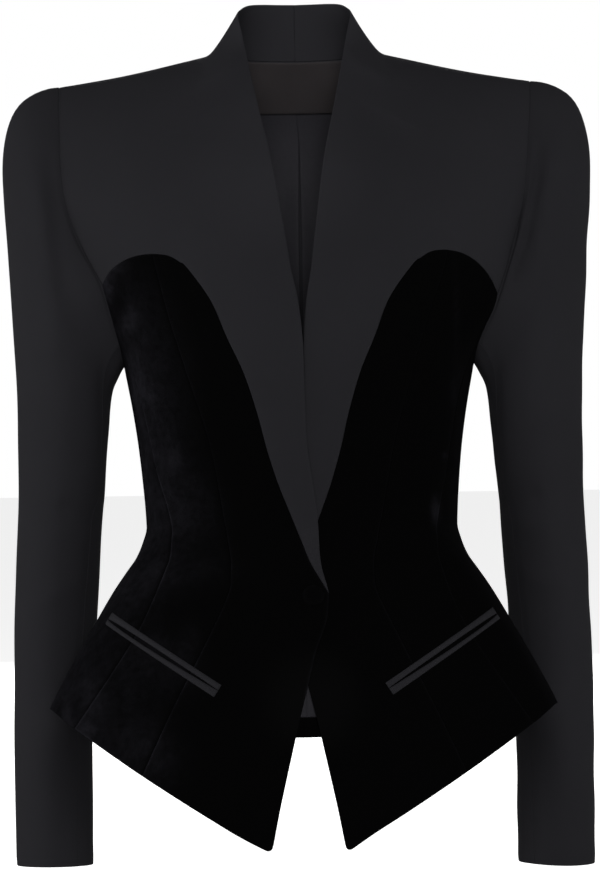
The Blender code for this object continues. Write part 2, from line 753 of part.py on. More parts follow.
def lining_rows(yoke, lower):
    """Rows of the back's own points where the lining lies: from the neck to a little above the hem."""
    stack = np.concatenate([yoke, lower[1:]])
    count, columns = stack.shape[:2]
    start = 0.12 + 0.9 * ease(np.arange(columns), NECK_STEPS - 2, NECK_STEPS + 1)
    hem = stack[-1, :, 2] + LINING_HEM_RISE
    end = np.array([np.interp(-hem[c], -stack[:, c, 2], np.arange(count)) for c in range(columns)])
    head = np.stack([start, start * 0 + 1.4])
    middle = np.repeat(np.arange(2, count - 3)[:, None], columns, axis=1)
    return stack, np.concatenate([head, middle, (count - 4 + end[None]) / 2, end[None]])


def cloth_material(name, colour, roughness):
    material = bpy.data.materials.new(name)
    material.use_nodes = True
    shader = material.node_tree.nodes["Principled BSDF"]
    shader.inputs["Base Color"].default_value = (*colour, 1)
    shader.inputs["Roughness"].default_value = roughness
    return material


def build():
    for thing in list(bpy.data.objects):
        bpy.data.objects.remove(thing, do_unlink=True)
    crepe = cloth_material("crepe", (0.018, 0.018, 0.019), 0.85)
    velvet = cloth_material("velvet", (0.004, 0.004, 0.0045), 0.7)
    satin = cloth_material("lining_satin", (0.035, 0.035, 0.036), 0.5)
    woven = cloth_material("label_weave", (0.012, 0.010, 0.009), 0.6)

    label_faces = []
    for tag, side in SIDES.items():
        places, velvet_line = torso_places(side)
        grids = {name: [body(side, place)] for name, place in places.items()}
        grids["front_upper"] = front_upper_grids(side, velvet_line)
        axis = lambda z: np.stack([0 * z, 0 * z + 10, z], axis=-1)
        grids = {name: facing_out(pieces, axis) for name, pieces in grids.items()}
        normals = shared_normals([g for pieces in grids.values() for g in pieces])
        for name, pieces in grids.items():
            crepe_piece = name in ("front_upper", "back_upper")
            cloth(f"{name}_{tag}", pieces, normals, CREPE_WALL if crepe_piece else VELVET_WALL,
                  crepe if crepe_piece else velvet)

        # Lining on the back's own points, moved in
        yoke = body(side, places["back_upper"])
        lower = body(side, places["back_velvet"])[:, ::-1]
        stack, rows = lining_rows(yoke, lower)
        stack_normal = look_up(normals, stack.reshape(-1, 3)).reshape(stack.shape)
        keep = [c for c in range(stack.shape[1]) if c <= NECK_STEPS or (c - NECK_STEPS) % 2 == 1]
        sheet_normal = rows_at(stack_normal, rows)
        hollow = np.exp(-((np.arange(stack.shape[1])[None, :] - NECK_STEPS) / 1.5) ** 2) * (1 - ease(rows, 3, 6))
        sheet = rows_at(stack, rows) - LINING_HOLLOW * hollow[..., None] * sheet_normal
        sheet, sheet_normal = sheet[:, keep], sheet_normal[:, keep]
        turned = facing_out([sheet], axis)[0]
        if not np.array_equal(turned, sheet):
            sheet_normal = sheet_normal[:, ::-1]
        lining_normals = {tuple(p): n for p, n in zip(np.round(turned.reshape(-1, 3), 3),
                                                      sheet_normal.reshape(-1, 3))}
        depth = VELVET_WALL + LINING_CLEARANCE
        cloth(f"back_lining_{tag}", [turned], lining_normals, LINING_WALL, satin, depth)
        if tag == "R":
            label_rows = np.stack([np.interp([LABEL_TOP - LABEL_DEPTH * k / 4 for k in range(5)],
                                             stack[::-1, c, 2][-5:], np.arange(stack.shape[0])[::-1][-5:])
                                   for c in range(4)], axis=1)
            deep = depth + LINING_WALL + LINING_CLEARANCE
            label_faces = [rows_at(stack[:, :4], label_rows), rows_at(stack_normal[:, :4], label_rows), deep]

        # Sleeve
        sleeve, front_column, back_column = sleeve_grid(side)
        count = sleeve.shape[1]
        middle = sleeve.mean(axis=1)
        column = lambda z: np.stack([np.interp(z, middle[::-1, 2], middle[::-1, k]) for k in (0, 1, 2)], axis=-1)
        over = np.arange(back_column, count + front_column + 1) % count
        under = np.arange(front_column, back_column + 1)
        pieces = facing_out([sleeve[:, over], sleeve[:, under]], column)
        sleeve_normals = shared_normals(pieces)
        cloth(f"upper_sleeve_{tag}", pieces[:1], sleeve_normals, CREPE_WALL, crepe)
        cloth(f"under_sleeve_{tag}", pieces[1:], sleeve_normals, CREPE_WALL, crepe)

        for name, ends in POCKET_JETS.items():
            pocket_jet(f"{name}_{tag}", side, ends, crepe)

    # Label across the centre back, on the lining's points moved in
    half, half_normal, deep = label_faces
    face = half - half_normal * deep
    other = face * np.array([-1, 1, 1])
    other_normal = half_normal * np.array([-1, 1, 1])
    face = np.concatenate([face[:, :0:-1], other], axis=1)
    face_normal = np.concatenate([half_normal[:, :0:-1], other_normal], axis=1)
    points, cells = face.reshape(-1, 3), corners(face)
    if (face_normals(points, cells) * np.array([0, 1, 0])).sum() < 0:
        cells = cells[:, ::-1]
    moved, border = trimmed(points, cells, 0.0)
    solid("neck_label", points, points - LABEL_THICK * face_normal.reshape(-1, 3), cells, border, woven)
    button("waist_button", velvet)


build()
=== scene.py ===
"""Looks of the fitted blazer: cloth on the frame's own form, with its seams, creases, nap and weave.

Sizes are in millimetres and become metres when a mesh is made. The wearer faces -y, +z is up and
the origin lies between the shoulders. R is the wearer's right (x < 0), L the wearer's left.
A place on the body is an angle (0 at the centre front, pi at the centre back) and a height.
"""

import bpy
import numpy as np
from mathutils import Matrix, Vector


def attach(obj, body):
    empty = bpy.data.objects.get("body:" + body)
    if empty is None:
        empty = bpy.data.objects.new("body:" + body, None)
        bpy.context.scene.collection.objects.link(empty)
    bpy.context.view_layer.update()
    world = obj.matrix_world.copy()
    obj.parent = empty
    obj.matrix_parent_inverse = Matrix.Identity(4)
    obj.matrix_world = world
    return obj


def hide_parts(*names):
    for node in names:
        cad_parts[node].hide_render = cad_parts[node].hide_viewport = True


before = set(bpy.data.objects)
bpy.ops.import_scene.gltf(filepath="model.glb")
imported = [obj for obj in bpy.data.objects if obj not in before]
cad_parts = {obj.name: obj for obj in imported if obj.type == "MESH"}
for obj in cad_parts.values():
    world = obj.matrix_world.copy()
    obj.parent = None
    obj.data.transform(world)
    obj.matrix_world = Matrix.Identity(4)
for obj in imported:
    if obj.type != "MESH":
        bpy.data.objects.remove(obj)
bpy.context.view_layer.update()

METRE = 0.001
TINY = 1e-9
SIDES = {"R": -1, "L": 1}

# Cloth and seams
CREPE_WALL = 1.5
VELVET_WALL = 1.8
LINING_WALL = 1.0
LINING_CLEARANCE = 1.5
LINING_HOLLOW = 3.0

# How many steps each seam is cut into; pieces that share a seam share its points
NECK_STEPS = 5
SHOULDER_STEPS = 5
COLLAR_STEPS = 3
FRONT_ARMHOLE_STEPS = 7
SIDE_ARMHOLE_STEPS = 6
BACK_ARMHOLE_STEPS = 8
DOME_STEPS = 4
BROW_STEPS = 5
WAIST_ROW = 12
SOFT_ROWS = 5
HEM_STEPS = 3
HEM_ROUNDS = 40
HEM_GUESS = 40.0
CURVE_POINTS = 400

# Shoulder and armhole
NECK_REACH = 72.0
NECK_POINT = 4
NECK_BACK_HEIGHT = 22.5
SHOULDER_REACH = 199.0
SHOULDER_TIP = 1.0
SHOULDER_ROLL = (1.7, 0.7)
ARMPIT = -236.0
SHOULDER_FALL = 130.0
BODY_ROUNDNESS = 0.85

# Front; a range of depths is measured down from the shoulders
CENTRE_PULL = 4.0
PULL_DEPTHS = (-60, 260)
PULL_REACH = 120.0
LAP_OUT = 1.2
LAP_IN = 1.8
LAP_REACH = (26, 70)
LAP_TOP_DEPTHS = (165, 205)
LAP_FOOT_DEPTHS = (515, 575)
COLLAR_LIE_DEPTHS = (15, 68)
COLLAR_LIFT_SHARE = 0.5
LAPEL_SHIFT = (-4, 8)
BEND_COLUMNS = 7
BEND_POWER = 1.6
STEEP_SHARE = 0.9
STEEP_COLUMNS = 3
CUP_DEPTH = 8.0
CUP_REACH = 80.0
CUP_HEIGHT = -205.0
CUP_SPREAD = 46.0
FRONT_POINT_REACH = 30.8
FRONT_POINT_HEIGHT = -636.0
FRONT_HEM_RISE = 0.575
FRONT_HEM_CURVE = 0.0004
SIDE_HEM_HEIGHT = -520.0
BACK_HEM_HEIGHT = -553.5
BACK_VELVET_TOP = -192.0
BACK_VELVET_DIP = 14.0
LINING_HEM_RISE = 18.5

# Pockets, button and label
JET_THICK = 1.3
BUTTON_RADIUS = 9.0
BUTTON_THICK = 4.2
BUTTON_SINK = 0.6
BUTTON_PLACE = (9.3, -426.6)
LABEL_TOP = 23.0
LABEL_DEPTH = 42.0
LABEL_THICK = 1.0


def table(columns, rows):
    """Return the rows as named columns, sorted by the first one."""
    values = np.array(sorted(rows), dtype=float)
    return {name: values[:, i] for i, name in enumerate(columns.split())}


BODY = table("height half_width front back widest", [
    (60, 238, -88, 90, 5),
    (0, 236, -92, 92, 5),
    (-42, 232, -97, 95, 5),
    (-84, 224, -101, 97, 5),
    (-123, 207, -105, 98, 5),
    (-167, 180, -110, 98, 4),
    (-202, 161, -115, 97, 2),
    (-236, 147, -116, 96, 0),
    (-256, 142.8, -114, 94, -2),
    (-281, 138.6, -110, 91, -4),
    (-307, 135, -105, 87.5, -5),
    (-332, 132.3, -100, 83.5, -6.5),
    (-357, 130.3, -96, 80, -7.5),
    (-370, 129.8, -95, 79, -8),
    (-382, 133, -97, 80, -9.5),
    (-395, 138.6, -100, 83, -11.5),
    (-407, 147, -103, 86, -14),
    (-420, 156, -107, 89, -17),
    (-433, 164, -111.5, 93, -20),
    (-445, 171, -115.5, 96, -24),
    (-479, 190.5, -127, 106, -35),
    (-521, 213, -139, 117, -45),
    (-580, 243, -153, 130, -50),
    (-650, 277, -168, 145, -54),
])

# Height of the shoulder line over each reach; inside the neck it only shapes the chest and the nape
SHOULDER = table("reach front back", [
    (0, 40.5, 71.3),
    (22, 36, 70.7),
    (45, 31.4, 61),
    (62, 28, 43.5),
    (72, 26, 26),
    (85, 23.3, 23.3),
    (96, 20.7, 20.7),
    (120, 15.2, 15.2),
    (150, 9, 9),
    (175, 4.8, 4.8),
    (199, 1, 1),
    (240, -4, -4),
])

ARMHOLE = table("height reach", [
    (1, 199),
    (-21, 199),
    (-52, 198),
    (-81, 197),
    (-123, 185.5),
    (-167, 163.4),
    (-195, 156),
    (-222, 149.2),
    (-236, 147),
])

# How far each front runs past the centre front
FRONT_EDGE = table("height past", [
    (60, -48.5),
    (21, -40.3),
    (-21, -31.5),
    (-62, -22.4),
    (-109, -15),
    (-165, -7),
    (-200, -1),
    (-265, 0.6),
    (-298, 1.5),
    (-323, 5),
    (-365, 10.2),
    (-397, 11.8),
    (-413, 15.6),
    (-425, 18.8),
    (-436, 18.6),
    (-446, 17),
    (-461, 10),
    (-479.7, 5.6),
    (-498.3, 0.4),
    (-525.8, -6.6),
    (-555, -13.5),
    (-590.4, -21.3),
    (-615, -27),
    (-636, -30.8),
])

# Depth of the collar's free edge from the side of the neck down to where it lies on the chest
COLLAR_FRONT = table("height depth", [
    (60, 9),
    (52, -5),
    (40, -18),
    (25, -29),
    (0, -46),
    (-21, -61),
    (-45, -75),
    (-70, -84),
])

COLLAR_TOP = table("x y z", [
    (0, 54, 70.3),
    (20, 49.5, 70.4),
    (35, 39.5, 70),
    (43.5, 26, 67.3),
    (48.5, 9, 60),
])

# Top edge of the velvet, from the armhole over the bust to the waist, by distance from the centre
VELVET_TOP = [
    (163.4, -167),
    (157, -156.5),
    (144.3, -147.3),
    (131, -143.3),
    (121, -142.6),
    (108, -144.2),
    (93.4, -153.6),
    (81, -169),
    (68.4, -194.8),
    (58.8, -219.3),
    (49.4, -239.5),
    (36.5, -281.2),
    (27.3, -318.5),
    (15.3, -352),
    (2.3, -386),
    (-2.0, -397),
    (-11.2, -413),
    (-18.8, -425),
]
DOME_PEAK = 4
BROW_END = 6

PRINCESS_SEAM = table("height reach", [
    (-142.6, 121),
    (-190, 109.3),
    (-236, 95.4),
    (-271, 84),
    (-296, 76.5),
    (-317, 72),
    (-372, 63),
    (-400, 59),
    (-419, 60),
    (-443, 70),
    (-519, 109),
    (-578, 137),
    (-620, 158),
])

SIDE_FRONT_SEAM = table("height reach", [
    (-195, 156),
    (-224.5, 146.4),
    (-249, 136.5),
    (-276, 130),
    (-327, 119.4),
    (-349, 112.8),
    (-371, 108.5),
    (-390, 109.5),
    (-414, 118),
    (-450, 134.5),
    (-474, 149),
    (-538, 193),
    (-580, 221),
])

BACK_SEAM = table("height degrees", [
    (-192, 109.5),
    (-240, 115),
    (-300, 120),
    (-370, 123),
    (-560, 124),
])
BACK_CENTRE = table("height degrees", [(-900, 180), (0, 180)])

# Heights of the rows below the armhole; the last three steps run evenly to the hem
LEVELS = [-195, -222, -250, -278, -304, -328, -349, -366, -380, -393, -406, -420, -436, -454, -474, -496]
PRINCESS_TOP = -170.0

# Heights on the front edge that face the foot of the armhole, the dome and the end of the brow
EDGE_HEIGHTS = (-50, -105, -155)

# Sleeve sections from the armhole to the cuff: outer and inner edge, middle and half depth
SLEEVE = table("row outer_x outer_z inner_x inner_z middle half_depth", [
    (0, 199, 1, 147.6, -236, 3, 49),
    (1, 209, -0.5, 148.8, -238, 3.5, 51),
    (2, 220, -4.5, 150.4, -241, 4, 53),
    (3, 231, -12, 152.2, -245, 5, 55),
    (4, 239, -24, 154.2, -249, 6, 56.5),
    (5, 244.5, -42, 156.2, -254, 7, 57.5),
    (6, 247.3, -66, 157.8, -261, 8.5, 58),
    (7, 246.6, -98, 159.2, -271, 10.5, 58),
    (8, 243.6, -138, 160.6, -286, 14, 57),
    (9, 241.3, -185, 162.5, -304, 19, 55.5),
    (10, 239.3, -235, 164.3, -324, 27, 53.5),
    (11, 238.6, -290, 166.2, -344, 36, 51),
    (12, 239.2, -345, 168.3, -363, 46, 49),
    (13, 242.1, -400, 170.8, -400, 57, 47),
    (14, 244.1, -442, 174.3, -442, 67, 45.5),
    (15, 246, -486, 177.2, -486, 77, 44.5),
    (16, 247, -530, 179.7, -530, 85, 43.5),
    (17, 246.9, -575, 181, -575, 87, 43),
    (18, 246.7, -616, 180.8, -616, 86, 42),
    (19, 246.6, -657, 180.5, -657, 84, 41),
])
SLEEVE_FADE_ROWS = 7
SLEEVE_SEAMS = table("row front back", [
    (0, 148, 214),
    (6, 150, 222),
    (11, 158, 236),
    (12, 143, 238),
    (15, 134, 240),
    (19, 128, 240),
])

# Pocket jets: the outer and the inner end of each middle line
POCKET_JETS = {
    "pocket_jet_upper": ((159.6, -442.2), (68.3, -500.2)),
    "pocket_jet_lower": ((163.4, -448.1), (72.1, -506.1)),
}


def hermite(t, low, high, start, end):
    """Cubic from low to high with the slopes start and end at its two ends, at a share t of the way."""
    rise = high - low
    return low + t * (start + t * (3 * rise - 2 * start - end + t * (start + end - 2 * rise)))


def read(columns, key, name, at):
    """Read a column at any place with a cubic that never overshoots its rows."""
    x = columns[key]
    y = columns[name]
    at = np.clip(np.asarray(at, dtype=float), x[0], x[-1])
    step = np.diff(x)
    slope = np.diff(y) / step
    both = slope[:-1] * slope[1:]
    total = slope[:-1] + slope[1:]
    inner = np.where(both > 0, 2 * both / np.where(both > 0, total, 1), 0)
    tangent = np.concatenate([slope[:1], inner, slope[-1:]])
    i = np.clip(np.searchsorted(x, at) - 1, 0, len(step) - 1)
    return hermite((at - x[i]) / step[i], y[i], y[i + 1], tangent[i] * step[i], tangent[i + 1] * step[i])


def ease(value, low, high):
    """Go smoothly from 0 at low to 1 at high."""
    t = np.clip((value - low) / (high - low), 0, 1)
    return t * t * (3 - 2 * t)


def evenly(points, steps):
    """Cut a smooth curve through the points into steps of equal length."""
    points = np.asarray(points, dtype=float)
    chord = np.linalg.norm(np.diff(points, axis=0), axis=1)
    knots = np.concatenate([[0], np.cumsum(chord)])
    fine = np.linspace(0, knots[-1], CURVE_POINTS)
    tangent = np.gradient(points, knots, axis=0)
    i = np.clip(np.searchsorted(knots, fine) - 1, 0, len(chord) - 1)
    long = chord[i][:, None]
    t = ((fine - knots[i]) / chord[i])[:, None]
    curve = hermite(t, points[i], points[i + 1], tangent[i] * long, tangent[i + 1] * long)
    run = np.concatenate([[0], np.cumsum(np.linalg.norm(np.diff(curve, axis=0), axis=1))])
    cuts = np.linspace(0, run[-1], steps + 1)
    return np.stack([np.interp(cuts, run, curve[:, k]) for k in range(curve.shape[1])], axis=1)


def patch(top, bottom, left, right):
    """Fill four edges that share their corners with rows and columns (a Coons patch)."""
    rows = np.linspace(0, 1, len(left))[:, None, None]
    columns = np.linspace(0, 1, len(top))[None, :, None]
    along = (1 - rows) * top[None] + rows * bottom[None]
    across = (1 - columns) * left[:, None] + columns * right[:, None]
    corners = ((1 - rows) * (1 - columns) * top[0] + (1 - rows) * columns * top[-1]
               + rows * (1 - columns) * bottom[0] + rows * columns * bottom[-1])
    return along + across - corners


def half_width(height):
    """Half the body's width at a height."""
    return read(BODY, "height", "half_width", height)


def centre_front(height, distance):
    """The buttoned lap pulls the centre towards the wearer's left; the pull fades sideways."""
    return CENTRE_PULL * ease(-height, *PULL_DEPTHS) * np.clip(1 - np.abs(distance) / PULL_REACH, 0, 1)


def front_place(side, distance, height):
    """Angle and height of a point given by its distance from the centre front, as seen from the front."""
    distance = np.asarray(distance, dtype=float)
    x = side * distance + centre_front(height, distance)
    return np.stack([np.arcsin(np.clip(side * x / half_width(height), -1, 1)), height + 0 * x], axis=-1)


def lap(side, x, height):
    """Move the right front out and the left front in where they lie over each other."""
    near = 1 - ease(np.abs(x - CENTRE_PULL), *LAP_REACH)
    tall = ease(-height, *LAP_TOP_DEPTHS) * (1 - ease(-height, *LAP_FOOT_DEPTHS))
    return near * tall * (-LAP_OUT if side < 0 else LAP_IN)


def body(side, place):
    """Point of the body's outer face at an angle and a height."""
    angle = place[..., 0]
    height = place[..., 1]
    reach = half_width(height) * np.sin(angle)
    cosine = np.cos(angle)
    ahead = cosine >= 0
    crest = np.where(ahead, read(SHOULDER, "reach", "front", np.abs(reach)),
                     read(SHOULDER, "reach", "back", np.abs(reach)))
    fall = np.clip((crest - height) / SHOULDER_FALL, 0, 1)
    roll = (1 - (1 - fall) ** SHOULDER_ROLL[0]) ** SHOULDER_ROLL[1]
    fullness = np.abs(cosine) ** BODY_ROUNDNESS * roll
    widest = read(BODY, "height", "widest", height)
    front = read(BODY, "height", "front", height) - widest
    back = read(BODY, "height", "back", height) - widest
    off = ((reach - CUP_REACH) ** 2 + (height - CUP_HEIGHT) ** 2) / (2 * CUP_SPREAD ** 2)
    cup = np.where(ahead, CUP_DEPTH * np.exp(-off), 0)
    y = widest + np.where(ahead, front, back) * fullness - cup
    x = side * reach
    y = y + np.where(ahead, lap(side, x, height), 0)
    return np.stack([x, y, height + 0 * x], axis=-1)


def hem_height(angle):
    """Height of the hem: it falls to the front points and dips a little at the centre back."""
    angle = np.asarray(angle, dtype=float)
    height = np.full(angle.shape, SIDE_HEM_HEIGHT)
    for _ in range(HEM_ROUNDS):
        reach = half_width(height) * np.sin(np.minimum(angle, np.pi / 2))
        along = reach - FRONT_POINT_REACH
        line = FRONT_POINT_HEIGHT + FRONT_HEM_RISE * along + FRONT_HEM_CURVE * along * np.abs(along)
        height = np.minimum(line, SIDE_HEM_HEIGHT)
    behind = ease(angle, np.pi / 2, np.pi)
    return np.where(angle > np.pi / 2, SIDE_HEM_HEIGHT + (BACK_HEM_HEIGHT - SIDE_HEM_HEIGHT) * behind, height)


def armhole(turns):
    """Places round the armhole: 0 at the shoulder tip, pi under the arm, 2 pi at the tip again."""
    height = SHOULDER_TIP - (1 - np.cos(turns)) / 2 * (SHOULDER_TIP - ARMPIT)
    reach = read(ARMHOLE, "height", "reach", height)
    angle = np.arcsin(np.clip(reach / half_width(height), 0, 1))
    return np.stack([np.where(turns > np.pi, np.pi - angle, angle), height], axis=-1)


def turn_at(height):
    """Turn round the armhole, on its front half, at a height."""
    return np.arccos(1 - 2 * (SHOULDER_TIP - height) / (SHOULDER_TIP - ARMPIT))


FRONT_TURN = turn_at(VELVET_TOP[0][1])
SIDE_TURN = turn_at(LEVELS[0])
BACK_TURN = 2 * np.pi - turn_at(BACK_VELVET_TOP)
TURNS = np.concatenate([
    np.linspace(0, FRONT_TURN, FRONT_ARMHOLE_STEPS + 1),
    np.linspace(SIDE_TURN, BACK_TURN, SIDE_ARMHOLE_STEPS + 1),
    np.linspace(BACK_TURN, 2 * np.pi, BACK_ARMHOLE_STEPS + 1)[1:],
])
FIRST_SIDE_TURN = FRONT_ARMHOLE_STEPS + 1
LAST_SIDE_TURN = FIRST_SIDE_TURN + SIDE_ARMHOLE_STEPS


def seam_down(columns, name, top):
    """Places down a seam: its first rows start from the top height and ease into the shared levels."""
    levels = np.array(LEVELS, dtype=float)
    first = np.maximum(0, 1 - np.arange(len(levels)) / SOFT_ROWS)
    heights = levels + (top - levels[0]) * first
    if name == "degrees":
        angle_at = lambda h: np.radians(read(columns, "height", name, h))
    else:
        angle_at = lambda h: np.arcsin(np.clip(read(columns, "height", name, h) / half_width(h), -1, 1))
    hem = heights[-1] - HEM_GUESS
    for _ in range(HEM_ROUNDS):
        hem = 0.5 * hem + 0.5 * float(hem_height(angle_at(hem)))
    heights = np.concatenate([heights, np.linspace(heights[-1], hem, HEM_STEPS + 1)[1:]])
    return np.stack([angle_at(heights), heights], axis=-1)


def hem_between(first, last, steps):
    """Places along the hem from one angle to another."""
    angle = np.linspace(first, last, steps + 1)
    return np.stack([angle, hem_height(angle)], axis=-1)


def neck_seam():
    """Reaches and heights of the back neck seam; it rises with the square of the reach to the neck point."""
    reach = np.linspace(0, NECK_REACH, NECK_STEPS + 1)
    rise = (SHOULDER["back"][NECK_POINT] - NECK_BACK_HEIGHT) * (reach / NECK_REACH) ** 2
    return reach, NECK_BACK_HEIGHT + rise


def back_place(reach, height):
    """Angle and height of a point of the back given by its reach."""
    return np.stack([np.pi - np.arcsin(reach / half_width(height)), height], axis=-1)


def torso_places(side):
    """Angle and height grids of the panels that lie on the body, and the line of the velvet's top."""
    loop = armhole(TURNS)
    curve = np.array(VELVET_TOP, dtype=float)
    dome = evenly(curve[:DOME_PEAK + 1], DOME_STEPS)[::-1]
    brow = evenly(curve[DOME_PEAK:BROW_END + 1], BROW_STEPS)
    dome = front_place(side, dome[:, 0], dome[:, 1])
    brow = front_place(side, brow[:, 0], brow[:, 1])
    dome[-1] = loop[FRONT_ARMHOLE_STEPS]

    princess = np.concatenate([brow[:1], seam_down(PRINCESS_SEAM, "reach", PRINCESS_TOP)])
    side_front = seam_down(SIDE_FRONT_SEAM, "reach", LEVELS[0])
    side_front[0] = loop[FIRST_SIDE_TURN]
    back_seam = seam_down(BACK_SEAM, "degrees", BACK_VELVET_TOP)
    back_seam[0] = loop[LAST_SIDE_TURN]

    # The lapel line and the front edge below it, on rows level with the princess seam
    lapel = table("height distance", [(h, d) for d, h in curve[BROW_END:]])
    level = princess[:, 1]
    share = (level[:WAIST_ROW + 1] - level[0]) / (level[WAIST_ROW] - level[0])
    heights = lapel["height"][-1] + share * (lapel["height"][0] - lapel["height"][-1])
    slope = front_place(side, read(lapel, "height", "distance", heights), heights)
    slope[0] = brow[-1]
    share = (level[WAIST_ROW:] - level[WAIST_ROW]) / (level[-1] - level[WAIST_ROW])
    heights = heights[-1] + share * (FRONT_POINT_HEIGHT - heights[-1])
    edge = front_place(side, -read(FRONT_EDGE, "height", "past", heights), heights)
    front_line = np.concatenate([slope, edge[1:]])
    front_hem = hem_between(princess[-1, 0], edge[-1, 0], BROW_STEPS)
    front_hem[-1] = edge[-1]

    across = NECK_STEPS + SHOULDER_STEPS
    centre = np.linspace(np.pi, back_seam[0, 0], across + 1)
    dip = BACK_VELVET_TOP - BACK_VELVET_DIP * ease(centre, back_seam[0, 0], np.pi)
    back_top = np.stack([centre, dip], axis=-1)
    back_centre = seam_down(BACK_CENTRE, "degrees", dip[0])

    neck, neck_height = neck_seam()
    ridge = np.linspace(NECK_REACH, SHOULDER_REACH, SHOULDER_STEPS + 1)[1:]
    crest = back_place(np.concatenate([neck, ridge]),
                       np.concatenate([neck_height, read(SHOULDER, "reach", "back", ridge)]))
    crest[-1] = loop[-1]
    yoke_rows = BACK_ARMHOLE_STEPS
    yoke_centre = np.stack([np.full(yoke_rows + 1, np.pi),
                            np.linspace(NECK_BACK_HEIGHT, dip[0], yoke_rows + 1)], axis=-1)

    front_side_hem = hem_between(princess[-1, 0], side_front[-1, 0], DOME_STEPS)
    side_hem = hem_between(side_front[-1, 0], back_seam[-1, 0], SIDE_ARMHOLE_STEPS)
    back_hem = hem_between(back_seam[-1, 0], np.pi, across)
    return {
        "front_velvet": patch(brow, front_hem, princess, front_line),
        "front_side_velvet": patch(dome, front_side_hem, princess, np.concatenate([dome[-1:], side_front])),
        "side_panel": patch(loop[FIRST_SIDE_TURN:LAST_SIDE_TURN + 1], side_hem, side_front, back_seam),
        "back_velvet": patch(back_top[::-1], back_hem, back_seam, back_centre),
        "back_upper": patch(crest, back_top, yoke_centre, loop[LAST_SIDE_TURN:][::-1]),
    }, np.concatenate([dome[::-1], brow[1:], slope[1:]])


def front_upper_grids(side, velvet_line):
    """Collar and front: lines run from the free edge to the shoulder, the armhole and the velvet."""
    loop = armhole(TURNS[:FRONT_ARMHOLE_STEPS + 1])
    outer = np.concatenate([body(side, loop), body(side, velvet_line)[1:]])
    count = len(outer)
    brow_end = FRONT_ARMHOLE_STEPS + DOME_STEPS + BROW_STEPS
    heights = np.interp(np.arange(count), [0, FRONT_ARMHOLE_STEPS, brow_end - BROW_STEPS, brow_end],
                        [COLLAR_FRONT["height"][-1], *EDGE_HEIGHTS])
    heights[brow_end:] = outer[brow_end:, 2] + np.linspace(*LAPEL_SHIFT, count - brow_end)
    place = front_place(side, -read(FRONT_EDGE, "height", "past", heights), heights)
    inner = body(side, place)
    stand = read(COLLAR_FRONT, "height", "depth", heights)
    on_chest = ease(-heights, *COLLAR_LIE_DEPTHS)
    inner[:, 1] = stand + (inner[:, 1] - stand) * on_chest

    # The first line climbs down the collar to the neck point and then follows the shoulder seam
    rows = COLLAR_STEPS + SHOULDER_STEPS
    share = np.linspace(0, 1, rows + 1)
    ridge = np.linspace(NECK_REACH, SHOULDER_REACH, SHOULDER_STEPS + 1)
    seam_x = np.concatenate([np.linspace(np.abs(inner[0, 0]), NECK_REACH, COLLAR_STEPS + 1), ridge[1:]])
    seam_z = np.concatenate([np.linspace(inner[0, 2], SHOULDER["front"][NECK_POINT], COLLAR_STEPS + 1),
                             read(SHOULDER, "reach", "front", ridge)[1:]])
    straight_x = np.abs(inner[0, 0]) + share * (SHOULDER_REACH - np.abs(inner[0, 0]))
    straight_z = inner[0, 2] + share * (SHOULDER_TIP - inner[0, 2])
    bend = np.clip(1 - np.arange(count) / BEND_COLUMNS, 0, 1)[None, :] ** BEND_POWER
    # Lines that end beside the foot of the armhole come down on it from above, clear of the dome
    from_foot = np.abs(np.arange(count) - FRONT_ARMHOLE_STEPS)
    steep = 1 + STEEP_SHARE * np.clip(1 - from_foot / STEEP_COLUMNS, 0, 1)[None, :]
    out = 1 - (1 - share[:, None]) ** steep
    down = share[:, None] ** steep
    x = inner[None, :, 0] + out * (outer[None, :, 0] - inner[None, :, 0])
    z = inner[None, :, 2] + down * (outer[None, :, 2] - inner[None, :, 2])
    x = x + side * (seam_x - straight_x)[:, None] * bend
    z = z + (seam_z - straight_z)[:, None] * bend
    angle = np.arcsin(np.clip(side * x / half_width(z), -1, 1))
    front = body(side, np.stack([angle, z], axis=-1))
    front[..., 0] = x
    lift = inner[:, 1] - front[0, :, 1]
    front[..., 1] += lift[None, :] * (1 - ease(share, 0, COLLAR_LIFT_SHARE))[:, None]
    front[-1] = outer

    # The collar goes on round the back of the neck to its seam
    top = evenly(np.stack([COLLAR_TOP["x"], COLLAR_TOP["y"], COLLAR_TOP["z"]], axis=1), NECK_STEPS)
    top[:, 0] *= side
    base = body(side, back_place(*neck_seam()))
    rise = np.linspace(0, 1, COLLAR_STEPS + 1)[:, None, None]
    collar = top[None] + rise * (base - top)[None]
    front[:COLLAR_STEPS + 1, 0] = collar[:, -1]
    front[COLLAR_STEPS:, 0] = np.stack([side * ridge, 0 * ridge + base[-1, 1],
                                        read(SHOULDER, "reach", "front", ridge)], axis=-1)
    return [collar, front]


